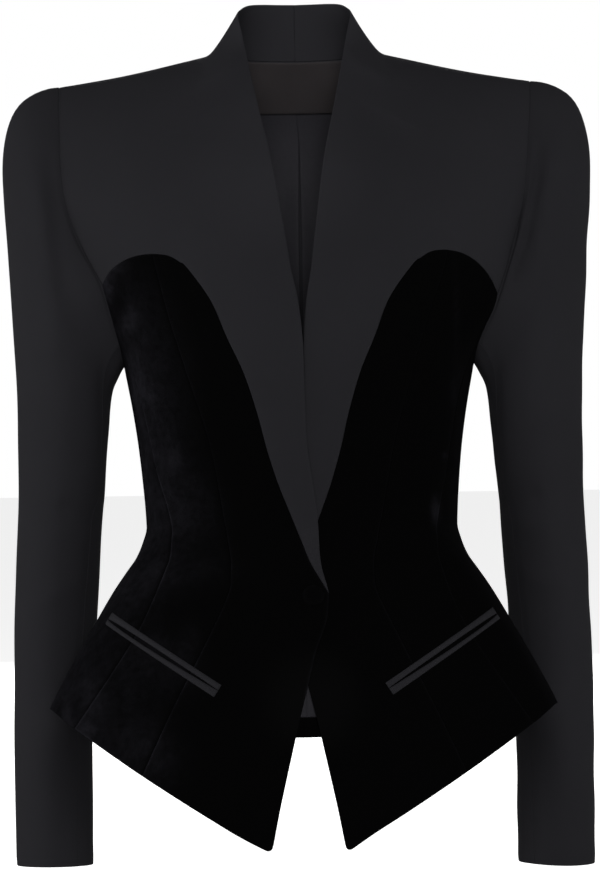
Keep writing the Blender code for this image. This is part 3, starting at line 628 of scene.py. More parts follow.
def sleeve_grid(side):
    """Rings from the armhole to the cuff, and the column numbers of the two seams."""
    loop = body(side, armhole(TURNS[:-1]))
    loop[:, 0] = np.abs(loop[:, 0])
    rows = SLEEVE["row"]
    seam_front = read(SLEEVE_SEAMS, "row", "front", rows)
    seam_back = read(SLEEVE_SEAMS, "row", "back", rows)
    turns = TURNS[:-1]
    front_column = int(np.argmin(np.abs(np.degrees(turns) - seam_front[0])))
    back_column = int(np.argmin(np.abs(np.degrees(turns) - seam_back[0])))
    count = len(turns)
    rings = []
    first = None
    for i in range(len(rows)):
        over = np.linspace(seam_back[i] - 360, seam_front[i], count - back_column + front_column + 1)
        under = np.linspace(seam_front[i], seam_back[i], back_column - front_column + 1)
        even = np.concatenate([over[count - back_column:], under[1:], over[1:count - back_column] + 360])
        fade = ease(rows[i], 0, SLEEVE_FADE_ROWS)
        turn = turns + (np.radians(even) - turns) * fade
        outer = np.array([SLEEVE["outer_x"][i], SLEEVE["middle"][i], SLEEVE["outer_z"][i]])
        inner = np.array([SLEEVE["inner_x"][i], SLEEVE["middle"][i], SLEEVE["inner_z"][i]])
        along = np.cos(turn)[:, None] * (outer - inner)[None] / 2
        across = np.sin(turn)[:, None] * np.array([0, -SLEEVE["half_depth"][i], 0])[None]
        ring = (outer + inner) / 2 + along + across
        if first is None:
            first = loop - ring
        rings.append(ring + (1 - fade) * first)
    grid = np.array(rings)
    grid[..., 0] *= side
    return grid, front_column, back_column


# How finely the cloth is drawn, and how its edges and seams are finished
SPACING = 3.8
EDGE_LINES = np.array([0.0, 0.3, 0.7, 1.3, 2.2, 3.6])
EDGE_ROUND = 1.3
RIM = 0.4
SEAM_PULL = 0.5
SEAM_PULL_WIDTH = 5.0
SEAM_DIP = 1.2
SEAM_GRIP = 2.4
EDGE_SHARE = 0.25
EDGE_CALM = 14.0
EDGE_LEAST = 0.3
CORNER_FADE = 0.5
CORNER_CELLS = 4
POINT_ROUND = 6.0
TUCK_ASIDE = 5.0
TUCK_IN = 2.4
SEEDS = {"R": 11, "L": 29}

# Middle of the body, seen from which the cloth faces out
CHEST_HEIGHT = -60.0
TRUNK_REACH = (60, 120)
TRUNK_SHARE = 0.35
TRUNK_BACK = 8.0
NORMAL_TURN = 0.004
NORMAL_RISE = 0.8

# Neck and yoke
NECK_EASE = 52.0
NECK_ROUNDS = 30
NECK_SEAM_STEPS = 1.5
EASE_CORE = 0.35
YOKE_EASE = 140.0
YOKE_BLUR = 0.22
YOKE_TURNS = 13
YOKE_FALL = 2.0
YOKE_RIM = (8, 60)
YOKE_FADE = (0.5, 0.95)
YOKE_SEAM = 30.0

# Creases, furrows and the slow unevenness of the cloth
CREASE_WANDER = 0.25
CREASE_WAVES = 7.0
CREASE_FACING = 0.35
WAVE_COUNT = 6
WAVE_LENGTH = 120.0
FURROW_WIDTH = 1.6
FURROW_POINTS = 250
NEAREST_BLOCK = 2000

# Painted sheen on the pile: how far a turn to the right or the left lifts its colour, as light from that side
# would, and from which to which slope; then the painted highlight and shade along its seams
SHEEN_TURNS = [(-1, 0.62, 0.34, 0.95), (1, 0.03, 0.5, 0.95)]
NAP_FACING = 0.3
SEAM_HIGHLIGHT_DEPTHS = (330, 470)
SEAM_HIGHLIGHT_WIDTH = 1.4
SEAM_HIGHLIGHT_LEAST = 0.12
SEAM_SHADE_SHARE = 0.85
SEAM_SHADE_WIDTH = 3.0
NAP_AND_SHEEN_MOST = 1.8

# Lining and label
NECK_DEPTH = 1.8
NECK_DEPTH_ROWS = 1.2
LINING_START = 0.02
HOLLOW_COLUMNS = 1.5
HOLLOW_ROWS = (3, 6)
PLEAT_DEPTH = 4.5
PLEAT_WIDTH = 9.0
PLEAT_GAP = 1.2
PLEAT_SHIFT = 2.6
PLEAT_LEFT = 0.45
PLEAT_TOP_DEPTHS = (10, 130)
PLEAT_FOOT_DEPTHS = (260, 380)
PLEAT_SHIFT_DEPTHS = (10, 50)
LABEL_CLEARANCE = 0.4
LABEL_ROWS = 5
LABEL_COLUMNS = 4
LABEL_BACK_ROWS = 6

# Pocket jets, and the covered button with the radius and height of its lower rings as shares
JET_ROWS = 90
JET_COLUMNS = 15
JET_LIFT = 0.2
JET_SLIT = 1.5
JET_SLIT_LEAST = 0.15
JET_SLIT_SKEW = 0.6
JET_SLIT_FULLNESS = 0.8
JET_SPREAD = {"upper": (6.6, 5.2), "lower": (4.6, 6.4)}
JET_CROWN = 0.96
JET_END_POWER = 40
JET_END_SHARE = 0.25
BUTTON_RINGS = 18
BUTTON_SIDES = 72
BUTTON_BOW = (0.9, 0.8)
BUTTON_SIDE = 0.24
BUTTON_RIM = [(0.985, 0.12), (0.93, 0.04), (0.8, 0.0), (0.5, 0.0)]
# The button's colour lift: a base, and a painted sheen at its rim that grows with the cube of the ring radius
BUTTON_NAP_AND_RIM_SHEEN = (0.02, 0.1)

# Soft creases: from and to (distance from the centre, height), width, height above the cloth, face
CREASES = {
    "velvet_R": [
        (152, -403, 52, -404, 5.0, 1.5, "front"),
        (128, -372, 66, -366, 6.0, -1.2, "front"),
        (140, -330, 108, -316, 6.0, 0.9, "front"),
        (136, -262, 112, -238, 6.5, 1.0, "front"),
        (142, -222, 120, -200, 5.5, -1.0, "front"),
        (205, -505, 170, -452, 8.0, 0.9, "front"),
        (128, -560, 100, -500, 9.0, 1.0, "front"),
        (130, -395, 60, -388, 6.0, 1.3, "back"),
        (122, -368, 70, -374, 7.0, -1.0, "back"),
    ],
    "velvet_L": [
        (150, -398, 60, -402, 5.5, 1.3, "front"),
        (126, -374, 74, -368, 6.0, -1.1, "front"),
        (138, -318, 104, -326, 6.5, 0.9, "front"),
        (134, -250, 116, -226, 6.0, 0.9, "front"),
        (198, -515, 176, -460, 8.0, 0.8, "front"),
        (118, -570, 96, -505, 9.0, 0.9, "front"),
        (126, -400, 64, -392, 6.5, 1.2, "back"),
        (124, -364, 60, -370, 7.0, -0.9, "back"),
    ],
    "crepe_R": [
        (196, -60, 186, -130, 7.0, -1.3, "front"),
        (150, -30, 120, -120, 16.0, 0.8, "front"),
        (150, -40, 60, -70, 12.0, 0.9, "back"),
        (170, -150, 110, -120, 9.0, 1.0, "back"),
    ],
    "crepe_L": [
        (196, -50, 184, -136, 7.0, -1.2, "front"),
        (146, -36, 112, -110, 16.0, 0.7, "front"),
        (140, -30, 50, -64, 12.0, 0.8, "back"),
        (172, -146, 104, -126, 9.0, 1.0, "back"),
    ],
    "sleeve_R": [
        (206, -60, 196, -170, 7.0, -1.6, "front"),
        (214, -90, 204, -220, 9.0, 1.2, "front"),
        (188, -300, 228, -268, 9.0, 1.0, "front"),
        (170, -366, 198, -352, 6.0, -1.0, "front"),
        (172, -378, 206, -374, 8.0, 0.7, "front"),
        (178, -410, 216, -430, 9.0, 1.0, "front"),
        (236, -360, 200, -392, 8.0, 1.4, "back"),
        (238, -396, 196, -378, 7.0, -1.2, "back"),
        (236, -320, 204, -344, 9.0, 1.1, "back"),
        (236, -600, 200, -612, 12.0, 0.8, "front"),
    ],
    "sleeve_L": [
        (203, -58, 201, -78, 3.5, -2.0, "front"),
        (201, -78, 192, -128, 3.5, -3.0, "front"),
        (192, -128, 180, -162, 3.5, -2.6, "front"),
        (213, -70, 200, -140, 8.0, 2.0, "front"),
        (200, -140, 186, -190, 8.0, 1.4, "front"),
        (186, -292, 226, -276, 9.0, 0.9, "front"),
        (170, -360, 196, -348, 6.0, -0.9, "front"),
        (172, -372, 204, -376, 8.0, 0.7, "front"),
        (180, -416, 220, -424, 9.0, 0.9, "front"),
        (236, -356, 202, -386, 8.0, 1.3, "back"),
        (238, -392, 198, -372, 7.0, -1.1, "back"),
        (234, -326, 206, -340, 9.0, 1.0, "back"),
        (238, -590, 202, -606, 12.0, 0.7, "front"),
    ],
}

# Places where the velvet's colour is lifted, partly pile lifted by brushing and partly painted sheen and
# highlights where light catches the pile; a negative amount darkens: middle, half width and half height, and
# how much
BRUSHED_AND_SHEEN = [
    (-160, -168, 6, 12, 0.9),
    (-148, -152, 8, 4, 0.5),
    (-142, -200, 6, 9, 0.7),
    (-138, -192, 5, 8, 0.4),
    (-137, -248, 10, 20, 0.6),
    (-126, -262, 9, 12, 0.45),
    (-116, -305, 14, 26, 0.25),
    (-104, -312, 6, 9, 0.5),
    (-104, -352, 22, 24, 0.25),
    (-78, -402, 26, 12, 0.18),
    (-140, -420, 24, 22, 0.3),
    (-112, -410, 20, 16, 0.3),
    (-128, -470, 20, 20, 0.3),
    (-182, -538, 12, 14, 0.8),
    (-176, -512, 10, 18, 0.6),
    (-196, -528, 4, 14, 0.9),
    (-150, -500, 30, 30, 0.3),
    (-148, -548, 26, 22, 0.4),
    (-122, -560, 20, 26, 0.3),
    (-104, -486, 18, 22, 0.25),
    (-92, -462, 8, 14, 0.25),
    (112, -358, 3.5, 9, 1.3),
    (120, -313, 2.0, 2.5, 0.7),
    (131, -200, 2.2, 46, 0.16),
    (128, -258, 3.0, 12, 0.25),
    (-86, -356, 20, 32, 0.22),
    (-150, -186, 7, 15, -0.35),
]

# Places where the worn shape is uneven: middle, half width and half height, and the shift aside and up
SETTLE = [
    (166, -172, 38, 34, 3.0, -12.0),
    (188, -75, 34, 62, -4.5, 0.0),
    (232, -660, 60, 90, 0.0, -5.2),
    (120, -150, 40, 30, 4.0, 1.5),
    (92, -360, 27, 80, 8.0, 0.0),
]

# Furrows along the front of the armholes: middle, half width and half height, and the depth
FURROWS = [
    (172, -138, 40, 55, 4.5),
    (-168, -135, 40, 55, 2.0),
]


def spline(values, at, breaks=()):
    """Smooth curve through the rows of an array, read at any row; it keeps a corner at each break.

    Between two rows it is the cubic whose end slopes are half the difference of the rows beside them.
    """
    stops = [0, *breaks, len(values) - 1]
    result = np.empty((len(at),) + values.shape[1:])
    for low, high in zip(stops, stops[1:]):
        part = values[low:high + 1]
        slope = np.gradient(part, axis=0)
        inside = (at >= low) & (at <= high)
        i = np.clip(np.floor(at[inside]).astype(int) - low, 0, high - low - 1)
        t = (at[inside] - low - i).reshape(-1, *[1] * (values.ndim - 1))
        result[inside] = hermite(t, part[i], part[i + 1], slope[i], slope[i + 1])
    return result


def lines(points, axis, breaks=()):
    """Rows or columns on which a grid is drawn: about a spacing apart, and closer beside both edges."""
    step = np.linalg.norm(np.diff(points, axis=axis), axis=-1).mean(axis=1 - axis)
    run = np.concatenate([[0], np.cumsum(step)])
    near = EDGE_LINES[-1]
    count = max(2, int(round((run[-1] - 2 * near) / SPACING)))
    places = np.concatenate([EDGE_LINES[:-1], np.linspace(near, run[-1] - near, count + 1),
                             run[-1] - EDGE_LINES[-2::-1]])
    return np.unique(np.concatenate([np.interp(places, run, np.arange(len(run))), breaks]))


def read_grid(grid, rows, columns, row_breaks=(), column_breaks=()):
    """A coarse grid read on fine rows and columns: a spline down, then a spline across."""
    down = spline(grid, rows, row_breaks)
    return np.swapaxes(spline(np.swapaxes(down, 0, 1), columns, column_breaks), 0, 1)


def whole(points):
    """Mask that keeps every cell of a grid."""
    return np.ones((points.shape[0] - 1, points.shape[1] - 1), dtype=bool)


def unit(vectors):
    """Vectors scaled to a length of one."""
    return vectors / np.maximum(np.linalg.norm(vectors, axis=-1), TINY)[..., None]


def grid_normals(points, keep=None):
    """Unit normals of a grid: at each point the sum of the cross products of the kept cells round it."""
    cell = np.cross(points[1:, 1:] - points[:-1, :-1], points[1:, :-1] - points[:-1, 1:])
    if keep is not None:
        cell = cell * keep[..., None]
    total = np.zeros_like(points)
    for rows, columns in ((slice(0, -1), slice(0, -1)), (slice(0, -1), slice(1, None)),
                          (slice(1, None), slice(0, -1)), (slice(1, None), slice(1, None))):
        total[rows, columns] += cell
    return unit(total)


def facing_out(points, keep, centre):
    """Turn a grid so that its faces look away from the centre line, and return its normals too."""
    normal = grid_normals(points, keep)
    if ((points - centre(points)) * normal).sum() < 0:
        points, keep = points[:, ::-1], keep[:, ::-1]
        normal = grid_normals(points, keep)
    return points, keep, normal


def trunk(points):
    """The middle of the body for each point: level with it, but lower for the shoulders."""
    drop = np.maximum(points[..., 2] - CHEST_HEIGHT, 0) * ease(np.abs(points[..., 0]), *TRUNK_REACH)
    return np.stack([TRUNK_SHARE * points[..., 0], 0 * drop + TRUNK_BACK, points[..., 2] - drop], axis=-1)


def crease_lift(points, normal, creases):
    """How far the creases lift the cloth: a bell-shaped ridge or trough about each line from end to end."""
    lift = np.zeros(points.shape[:2])
    flat = np.stack([np.abs(points[..., 0]), points[..., 2]], axis=-1)
    for x0, z0, x1, z1, width, height, face in creases:
        start, run = np.array([x0, z0]), np.array([x1 - x0, z1 - z0])
        along = np.clip(((flat - start) @ run) / (run @ run), 0, 1)
        off = np.linalg.norm(flat - start - along[..., None] * run, axis=-1)
        wander = 1 + CREASE_WANDER * np.sin(along * CREASE_WAVES + x0)
        shown = ease(normal[..., 1] * (-1 if face == "front" else 1), 0, CREASE_FACING)
        lift += height * shown * wander * np.exp(-(off / width) ** 2)
    return lift


def undulation(points, size, seed):
    """Slow unevenness of the cloth: a few sine waves of different directions, added up."""
    rng = np.random.default_rng(seed)
    waves = rng.normal(size=(WAVE_COUNT, 3)) * 2 * np.pi / WAVE_LENGTH
    phase = rng.uniform(0, 2 * np.pi, WAVE_COUNT)
    return size * np.sin(points @ waves.T + phase).mean(axis=-1)


def put(name, data):
    """Put a mesh, a lamp or a camera into the scene as an object at the origin."""
    thing = bpy.data.objects.new(name, data)
    bpy.context.scene.collection.objects.link(thing)
    return thing


def smooth_mesh(name, points, faces, material):
    """A smooth mesh object from points in millimetres and lists of corners."""
    mesh = bpy.data.meshes.new(name)
    mesh.from_pydata(points * METRE, [], faces)
    mesh.polygons.foreach_set("use_smooth", np.ones(len(mesh.polygons), dtype=bool))
    mesh.materials.append(material)
    mesh.update()
    return put(name, mesh)


def set_attribute(piece, name, values):
    """Store a number or a vector for each point of a piece."""
    values = np.asarray(values, dtype=np.float32)
    vector = values.ndim == 2
    attribute = piece.data.attributes.new(name, "FLOAT_VECTOR" if vector else "FLOAT", "POINT")
    attribute.data.foreach_set("vector" if vector else "value", values.ravel())


def cell_corners(keep):
    """Vertex numbers of the four corners of each kept cell of a grid."""
    numbers = np.arange((keep.shape[0] + 1) * (keep.shape[1] + 1)).reshape(keep.shape[0] + 1, -1)
    cells = np.stack([numbers[:-1, :-1], numbers[:-1, 1:], numbers[1:, 1:], numbers[1:, :-1]], axis=-1)
    return cells[keep]


def border_edges(faces):
    """Directed edges that only one face uses."""
    edges = np.stack([faces, np.roll(faces, -1, axis=1)], axis=-1).reshape(-1, 2)
    key = np.sort(edges, axis=1) @ np.array([faces.max() + 1, 1])
    _, where, count = np.unique(key, return_inverse=True, return_counts=True)
    return edges[count[where.reshape(-1)] == 1]


def nearest(flat, others):
    """The nearest of some other points for each point of a list."""
    blocks = np.array_split(flat, max(1, len(flat) // NEAREST_BLOCK))
    found = [np.linalg.norm(block[:, None] - others[None], axis=-1).argmin(axis=1) for block in blocks]
    return others[np.concatenate(found)]


def edge_distance(points, border):
    """Distance of each point from the nearest border point, and how far that one lies to the outside."""
    flat = points.reshape(-1, 3)
    rim = nearest(flat, flat[np.unique(border)])
    away = np.linalg.norm(flat - rim, axis=-1)
    outside = (np.abs(rim[:, 0]) - np.abs(flat[:, 0])) / np.maximum(away, EDGE_LEAST)
    return away.reshape(points.shape[:2]), np.clip(outside, -1, 1).reshape(points.shape[:2])


def bell(points, x, z, wide, tall):
    """Bell about a place seen from the front: it falls with the squares of the distances aside and up."""
    return np.exp(-((points[..., 0] - x) / wide) ** 2 - ((points[..., 2] - z) / tall) ** 2)


def settled(points):
    """Let the cloth hang a little uneven: bell-shaped shifts about a few places, the same for every piece."""
    moved = points.copy()
    for x, z, wide, tall, aside, up in SETTLE:
        moved += bell(points, x, z, wide, tall)[..., None] * np.array([aside, 0, up])
    return moved


def furrow(points):
    """Depth of the armhole furrows: a bell of the distance from the seam, deepest before the arm's foot."""
    turns = np.linspace(0, np.pi, FURROW_POINTS)
    seams = np.concatenate([body(side, armhole(turns)) for side in SIDES.values()])
    flat = points.reshape(-1, 3)
    away = np.linalg.norm(flat - nearest(flat, settled(seams)), axis=-1).reshape(points.shape[:2])
    depth = sum(deep * bell(points, x, z, wide, tall) for x, z, wide, tall, deep in FURROWS)
    return depth * np.exp(-(away / FURROW_WIDTH) ** 2)


def finish_piece(piece, node):
    """Let a piece ride on the part and stand for its node, whose own mesh is hidden."""
    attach(piece, "root")
    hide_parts(node)


def close_wall(name, outer, inner, keep, material):
    """Join two grids, outer and inner, and the rim between their borders into one closed piece.

    The numbers of the points that the piece uses are returned with it.
    """
    count = outer.shape[0] * outer.shape[1]
    faces = cell_corners(keep)
    border = border_edges(faces)
    rim = np.stack([border[:, 1], border[:, 0], border[:, 0] + count, border[:, 1] + count], axis=1)
    faces = np.concatenate([faces, faces[:, [0, 3, 2, 1]] + count, rim])
    used, faces = np.unique(faces, return_inverse=True)
    points = np.concatenate([outer.reshape(-1, 3), inner.reshape(-1, 3)])
    return smooth_mesh(name, points[used], faces.reshape(-1, 4).tolist(), material), used


def thread_lengths(points):
    """Distance along the cloth across and down, for patterns that follow it."""
    zero = np.zeros((points.shape[0], points.shape[1]))
    across, down = zero.copy(), zero.copy()
    across[:, 1:] = np.cumsum(np.linalg.norm(np.diff(points, axis=1), axis=-1), axis=1)
    down[1:] = np.cumsum(np.linalg.norm(np.diff(points, axis=0), axis=-1), axis=0)
    return np.stack([across, down, zero], axis=-1) * METRE


def cloth(name, points, wall, material, centre=trunk, keep=None, creases=(), pull=SEAM_PULL, dip=SEAM_DIP,
          seam_highlight_strength=(0.3, 0.3), seed=0, wave=0.35, furrowed=False):
    """A closed sheet of cloth of one wall thickness on a grid of its outer face.

    The middle of the wall lies half a wall below the grid, is drawn in a little beside the seams and
    lifted by the creases. At the very edge it lies a dip towards the centre line instead, the same for
    every piece, so pieces meet at their seams. The two faces lie half a wall to each side of the
    middle, and near an edge their distance follows a quarter circle, so every edge is rolled.
    """
    keep = whole(points) if keep is None else keep
    points, keep, normal = facing_out(settled(points), keep, centre)
    away, outside = edge_distance(points, border_edges(cell_corners(keep)))
    lift = crease_lift(points, normal, creases) + undulation(points, wave, seed)
    lift = lift * (EDGE_SHARE + (1 - EDGE_SHARE) * ease(away, 0, EDGE_CALM))
    lift = lift - pull * np.exp(-(away / SEAM_PULL_WIDTH) ** 2)
    free = ease(away, 0, SEAM_GRIP)[..., None]
    inward = unit(centre(points) - points)
    middle = points + free * (lift - wall / 2)[..., None] * normal + (1 - free) * dip * inward
    if furrowed:
        middle = middle + furrow(points)[..., None] * inward
    half = wall / 2 * np.sqrt(1 - (1 - np.clip(away / EDGE_ROUND, 0, 1)) ** 2)
    half = np.maximum(half, RIM / 2)[..., None]
    piece, used = close_wall(name, middle + half * normal, middle - half * normal, keep, material)
    twice = lambda values: np.concatenate([values.reshape(-1, *values.shape[2:])] * 2)[used]
    set_attribute(piece, "threads", twice(thread_lengths(points)))
    # The nap attribute holds pile lifted by brushing together with painted sheen, painted highlight and
    # painted shade, for the velvet's colour
    set_attribute(piece, "nap_and_sheen", twice(nap_and_sheen_lift(points, normal, away, outside, seam_highlight_strength)))
    return piece


def nap_and_sheen_lift(points, normal, away, outside, seam_highlight_strength):
    """How far the velvet's colour is lifted: pile lifted by brushing, and painted sheen.

    It is more where the cloth turns to the wearer's right, a painted sheen from the light on that side, and
    in listed places; along a seam a painted highlight lies on a panel's outer edge and painted darkening on
    its inner edge.
    """
    # Painted sheen: the colour is lifted where the cloth turns towards the stronger side light on the
    # wearer's right
    lift = sum(share * ease(turn * normal[..., 0], low, high) for turn, share, low, high in SHEEN_TURNS)
    # Listed places: pile lifted by brushing, with painted sheen and highlights
    for x, z, wide, tall, amount in BRUSHED_AND_SHEEN:
        lift = lift + amount * bell(points, x, z, wide, tall) * ease(-normal[..., 1], 0, NAP_FACING)
    lift = np.maximum(lift, 0)
    # Painted highlight along a panel's outer edge at its seams, and painted shade along its inner edge
    seam = seam_highlight_strength[0] + (seam_highlight_strength[1] - seam_highlight_strength[0]) * ease(-points[..., 2], *SEAM_HIGHLIGHT_DEPTHS)
    beside = np.exp(-(away / SEAM_HIGHLIGHT_WIDTH) ** 2)
    painted_highlight = seam * np.clip(outside, 0, 1) * beside * (SEAM_HIGHLIGHT_LEAST + lift)
    painted_shade = SEAM_SHADE_SHARE * np.clip(-outside, 0, 1) * np.exp(-(away / SEAM_SHADE_WIDTH) ** 2)
    return np.clip(lift * (1 - painted_shade) + painted_highlight, 0, NAP_AND_SHEEN_MOST)


def drawn(grid, rows, columns, row_corners=(), column_corners=()):
    """Read a grid finely; corners of its last column or last row stay sharp and fade inwards."""
    smooth = read_grid(grid, rows, columns)
    sharp = read_grid(grid, rows, columns, row_corners, column_corners)
    if row_corners:
        share = ease(columns / columns[-1], CORNER_FADE, 1)[None, :]
    else:
        share = ease(rows / rows[-1], CORNER_FADE, 1)[:, None]
    return smooth + share[..., None] * (sharp - smooth)


ROW_CORNERS = {"front_velvet": (WAIST_ROW,), "front_side_velvet": (1,)}


def panel(side, place, name):
    """A panel of the body: its angles and heights read finely, then put on the body."""
    corners = ROW_CORNERS.get(name, ())
    crest = (NECK_STEPS,) if name == "back_upper" else ()
    rough = body(side, place)
    rows, columns = lines(rough, 0, corners), lines(rough, 1, crest)
    fine_place = drawn(place, rows, columns, corners)
    fine = body(side, fine_place)
    if name == "back_upper":
        fine = yoke(side, fine_place, rows, spline(rough[0], columns, crest))
        return relaxed(fine, whole(fine), rough[0, NECK_STEPS], YOKE_EASE, NECK_ROUNDS)
    return rounded_corner(fine, POINT_ROUND) if name == "front_velvet" else fine


def yoke(side, place, rows, seam):
    """Smooth yoke: its depth is a weighted mean over angles at the same height, fading to its edges.

    Its first row is laid on the seam, and the shift this takes fades downwards.
    """
    points = body(side, place)
    depth = 0 * points[..., 1]
    turns = np.linspace(-1, 1, YOKE_TURNS)
    weights = np.exp(-YOKE_FALL * turns ** 2)
    for turn, weight in zip(turns, weights / weights.sum()):
        depth = depth + weight * body(side, place + np.array([turn * YOKE_BLUR, 0]))[..., 1]
    inside = ease(np.linalg.norm(points - points[:, -1:], axis=-1), *YOKE_RIM)
    share = inside * (1 - ease(rows / rows[-1], *YOKE_FADE))[:, None]
    points[..., 1] += share * (depth - points[..., 1])
    near = 1 - ease(np.linalg.norm(points - points[0], axis=-1), 0, YOKE_SEAM)
    return points + near[..., None] * (seam - points[0])


def front_and_collar(side, velvet_line):
    """Front and collar as one grid; the cells behind the neck and below the collar are left out."""
    collar, front = front_upper_grids(side, velvet_line)
    nape = collar[:, :-1]
    below = nape[-1:] + front[COLLAR_STEPS + 1:, :1] - front[COLLAR_STEPS, 0]
    full = np.concatenate([np.concatenate([nape, below]), front], axis=1)
    rise = np.linalg.norm(collar[-1, 0] - collar[0, 0]) / COLLAR_STEPS
    slope = np.linalg.norm(front[-1, 1] - front[-1, 0])
    foot = NECK_STEPS + FRONT_ARMHOLE_STEPS
    rows = lines(full, 0, COLLAR_STEPS - EDGE_LINES / rise)
    columns = lines(full, 1, np.concatenate([[foot], NECK_STEPS + EDGE_LINES / slope]))
    points = drawn(full, rows, columns, (), (foot,))
    seams = read_grid(full, rows, columns, (COLLAR_STEPS,), (NECK_STEPS,))
    above = ease(rows, COLLAR_STEPS - NECK_SEAM_STEPS, COLLAR_STEPS)[:, None]
    by_seam = above * (1 - ease(columns, NECK_STEPS, NECK_STEPS + NECK_SEAM_STEPS))
    points = points + by_seam[..., None] * (seams - points)
    keep = (rows[:-1, None] < COLLAR_STEPS - TINY) | (columns[None, :-1] > NECK_STEPS - TINY)
    return relaxed(points, keep, full[COLLAR_STEPS, NECK_STEPS], NECK_EASE, NECK_ROUNDS), keep


def relaxed(points, keep, spot, reach, rounds):
    """Ease a dent: near a spot each point moves to the mean of its neighbours, round after round."""
    share = 1 - ease(np.linalg.norm(points - spot, axis=-1), EASE_CORE * reach, reach)
    share.reshape(-1)[np.unique(border_edges(cell_corners(keep)))] = 0
    points = points.copy()
    for _ in range(rounds):
        mean = (points[:-2, 1:-1] + points[2:, 1:-1] + points[1:-1, :-2] + points[1:-1, 2:]) / 4
        points[1:-1, 1:-1] += share[1:-1, 1:-1, None] * (mean - points[1:-1, 1:-1])
    return points


def run_back(points):
    """Distance of each row of a grid from its last row, measured along the columns."""
    steps = np.diff(points[::-1], axis=0, prepend=points[-1:])
    return np.cumsum(np.linalg.norm(steps, axis=-1), axis=0)[::-1]


def rounded_corner(points, radius):
    """Round the last corner of a grid: a square of cells there becomes a quarter disc.

    A place in the square, measured from its inner corner, keeps its direction and its larger
    coordinate becomes its distance.
    """
    across = run_back(np.swapaxes(points, 0, 1)).T
    place = np.stack([radius - across, radius - run_back(points)], axis=-1)
    inside = (place > 0).all(axis=-1)
    far = place.max(axis=-1) / np.maximum(np.linalg.norm(place, axis=-1), TINY)
    move = np.where(inside, far - 1, 0)[..., None] * place
    right = unit(points[-1, -1] - points[-1, -CORNER_CELLS])
    low = unit(points[-1, -1] - points[-CORNER_CELLS, -1])
    return points + move[..., :1] * right + move[..., 1:] * low


def sleeve_pieces(side):
    """Upper and under sleeve, whose first row is tucked under the body's edge, and their middle line."""
    grid, front_column, back_column = sleeve_grid(side)
    ring = grid[0]
    inward = unit((ring.mean(axis=0) - ring) * np.array([0, 1, 1]))
    tuck = ring + inward * TUCK_IN
    tuck[:, 0] -= side * TUCK_ASIDE
    grid = np.concatenate([tuck[None], grid])
    middle = grid.mean(axis=1)[::-1]

    def centre(points):
        """The sleeve's middle at the height of each point."""
        return np.stack([np.interp(points[..., 2], middle[:, 2], middle[:, k]) for k in range(3)], axis=-1)

    count = grid.shape[1]
    over = grid[:, np.arange(back_column, count + front_column + 1) % count]
    under = grid[:, front_column:back_column + 1]
    gap = np.linalg.norm(grid[2] - grid[1], axis=-1).mean()
    return [read_grid(g, lines(g, 0, 1 + EDGE_LINES / gap), lines(g, 1), (1,)) for g in (over, under)], centre


def rows_at(grid, rows):
    """Points of a grid at fractional rows, one set of rows for each column."""
    low = np.clip(np.floor(rows).astype(int), 0, grid.shape[0] - 2)
    part = (rows - low)[..., None]
    column = np.arange(grid.shape[1])[None, :]
    return grid[low, column] * (1 - part) + grid[low + 1, column] * part


def back_stack(side, places):
    """The back's own points from the neck to the hem, centre first, with outward normals."""
    place = places["back_upper"]
    upper = yoke(side, place, np.arange(len(place)), body(side, place)[0])
    lower = body(side, places["back_velvet"])[:, ::-1]
    stack = np.concatenate([upper, lower[1:]])
    normal = grid_normals(stack)
    return stack, normal * np.sign((normal[..., 1]).sum())


def lining_depth(rows):
    """Depth of the lining below the back's outer face: close under the neck seam, then at its clearance."""
    return NECK_DEPTH + (VELVET_WALL + LINING_CLEARANCE - NECK_DEPTH) * ease(rows, 0, NECK_DEPTH_ROWS)


def lining(side, places):
    """Lining: the back's points from the neck to just above the hem, moved in and folded at the centre."""
    stack, normal = back_stack(side, places)
    count, columns = stack.shape[:2]
    start = LINING_START + (1 - LINING_START) * ease(np.arange(columns), NECK_STEPS - 2, NECK_STEPS + 1)
    hem = stack[-1, :, 2] + LINING_HEM_RISE
    end = np.array([np.interp(-hem[c], -stack[:, c, 2], np.arange(count)) for c in range(columns)])
    rows = start + np.linspace(0, 1, count)[:, None] * (end - start)
    hollow = np.exp(-((np.arange(columns)[None, :] - NECK_STEPS) / HOLLOW_COLUMNS) ** 2)
    depth = lining_depth(rows) + LINING_HOLLOW * hollow * (1 - ease(rows, *HOLLOW_ROWS))
    sheet = rows_at(stack, rows) - depth[..., None] * rows_at(normal, rows)
    fine = read_grid(sheet, lines(sheet, 0), lines(sheet, 1))
    near = np.exp(-(fine[..., 0] / PLEAT_WIDTH) ** 2)
    depths = -fine[..., 2]
    fold = near * ease(depths, *PLEAT_TOP_DEPTHS) * (1 - ease(depths, *PLEAT_FOOT_DEPTHS))
    fine[..., 1] -= PLEAT_DEPTH * fold * (1 if side < 0 else PLEAT_LEFT)
    fine[..., 0] += side * PLEAT_GAP * fold + PLEAT_SHIFT * near * ease(depths, *PLEAT_SHIFT_DEPTHS)
    return fine


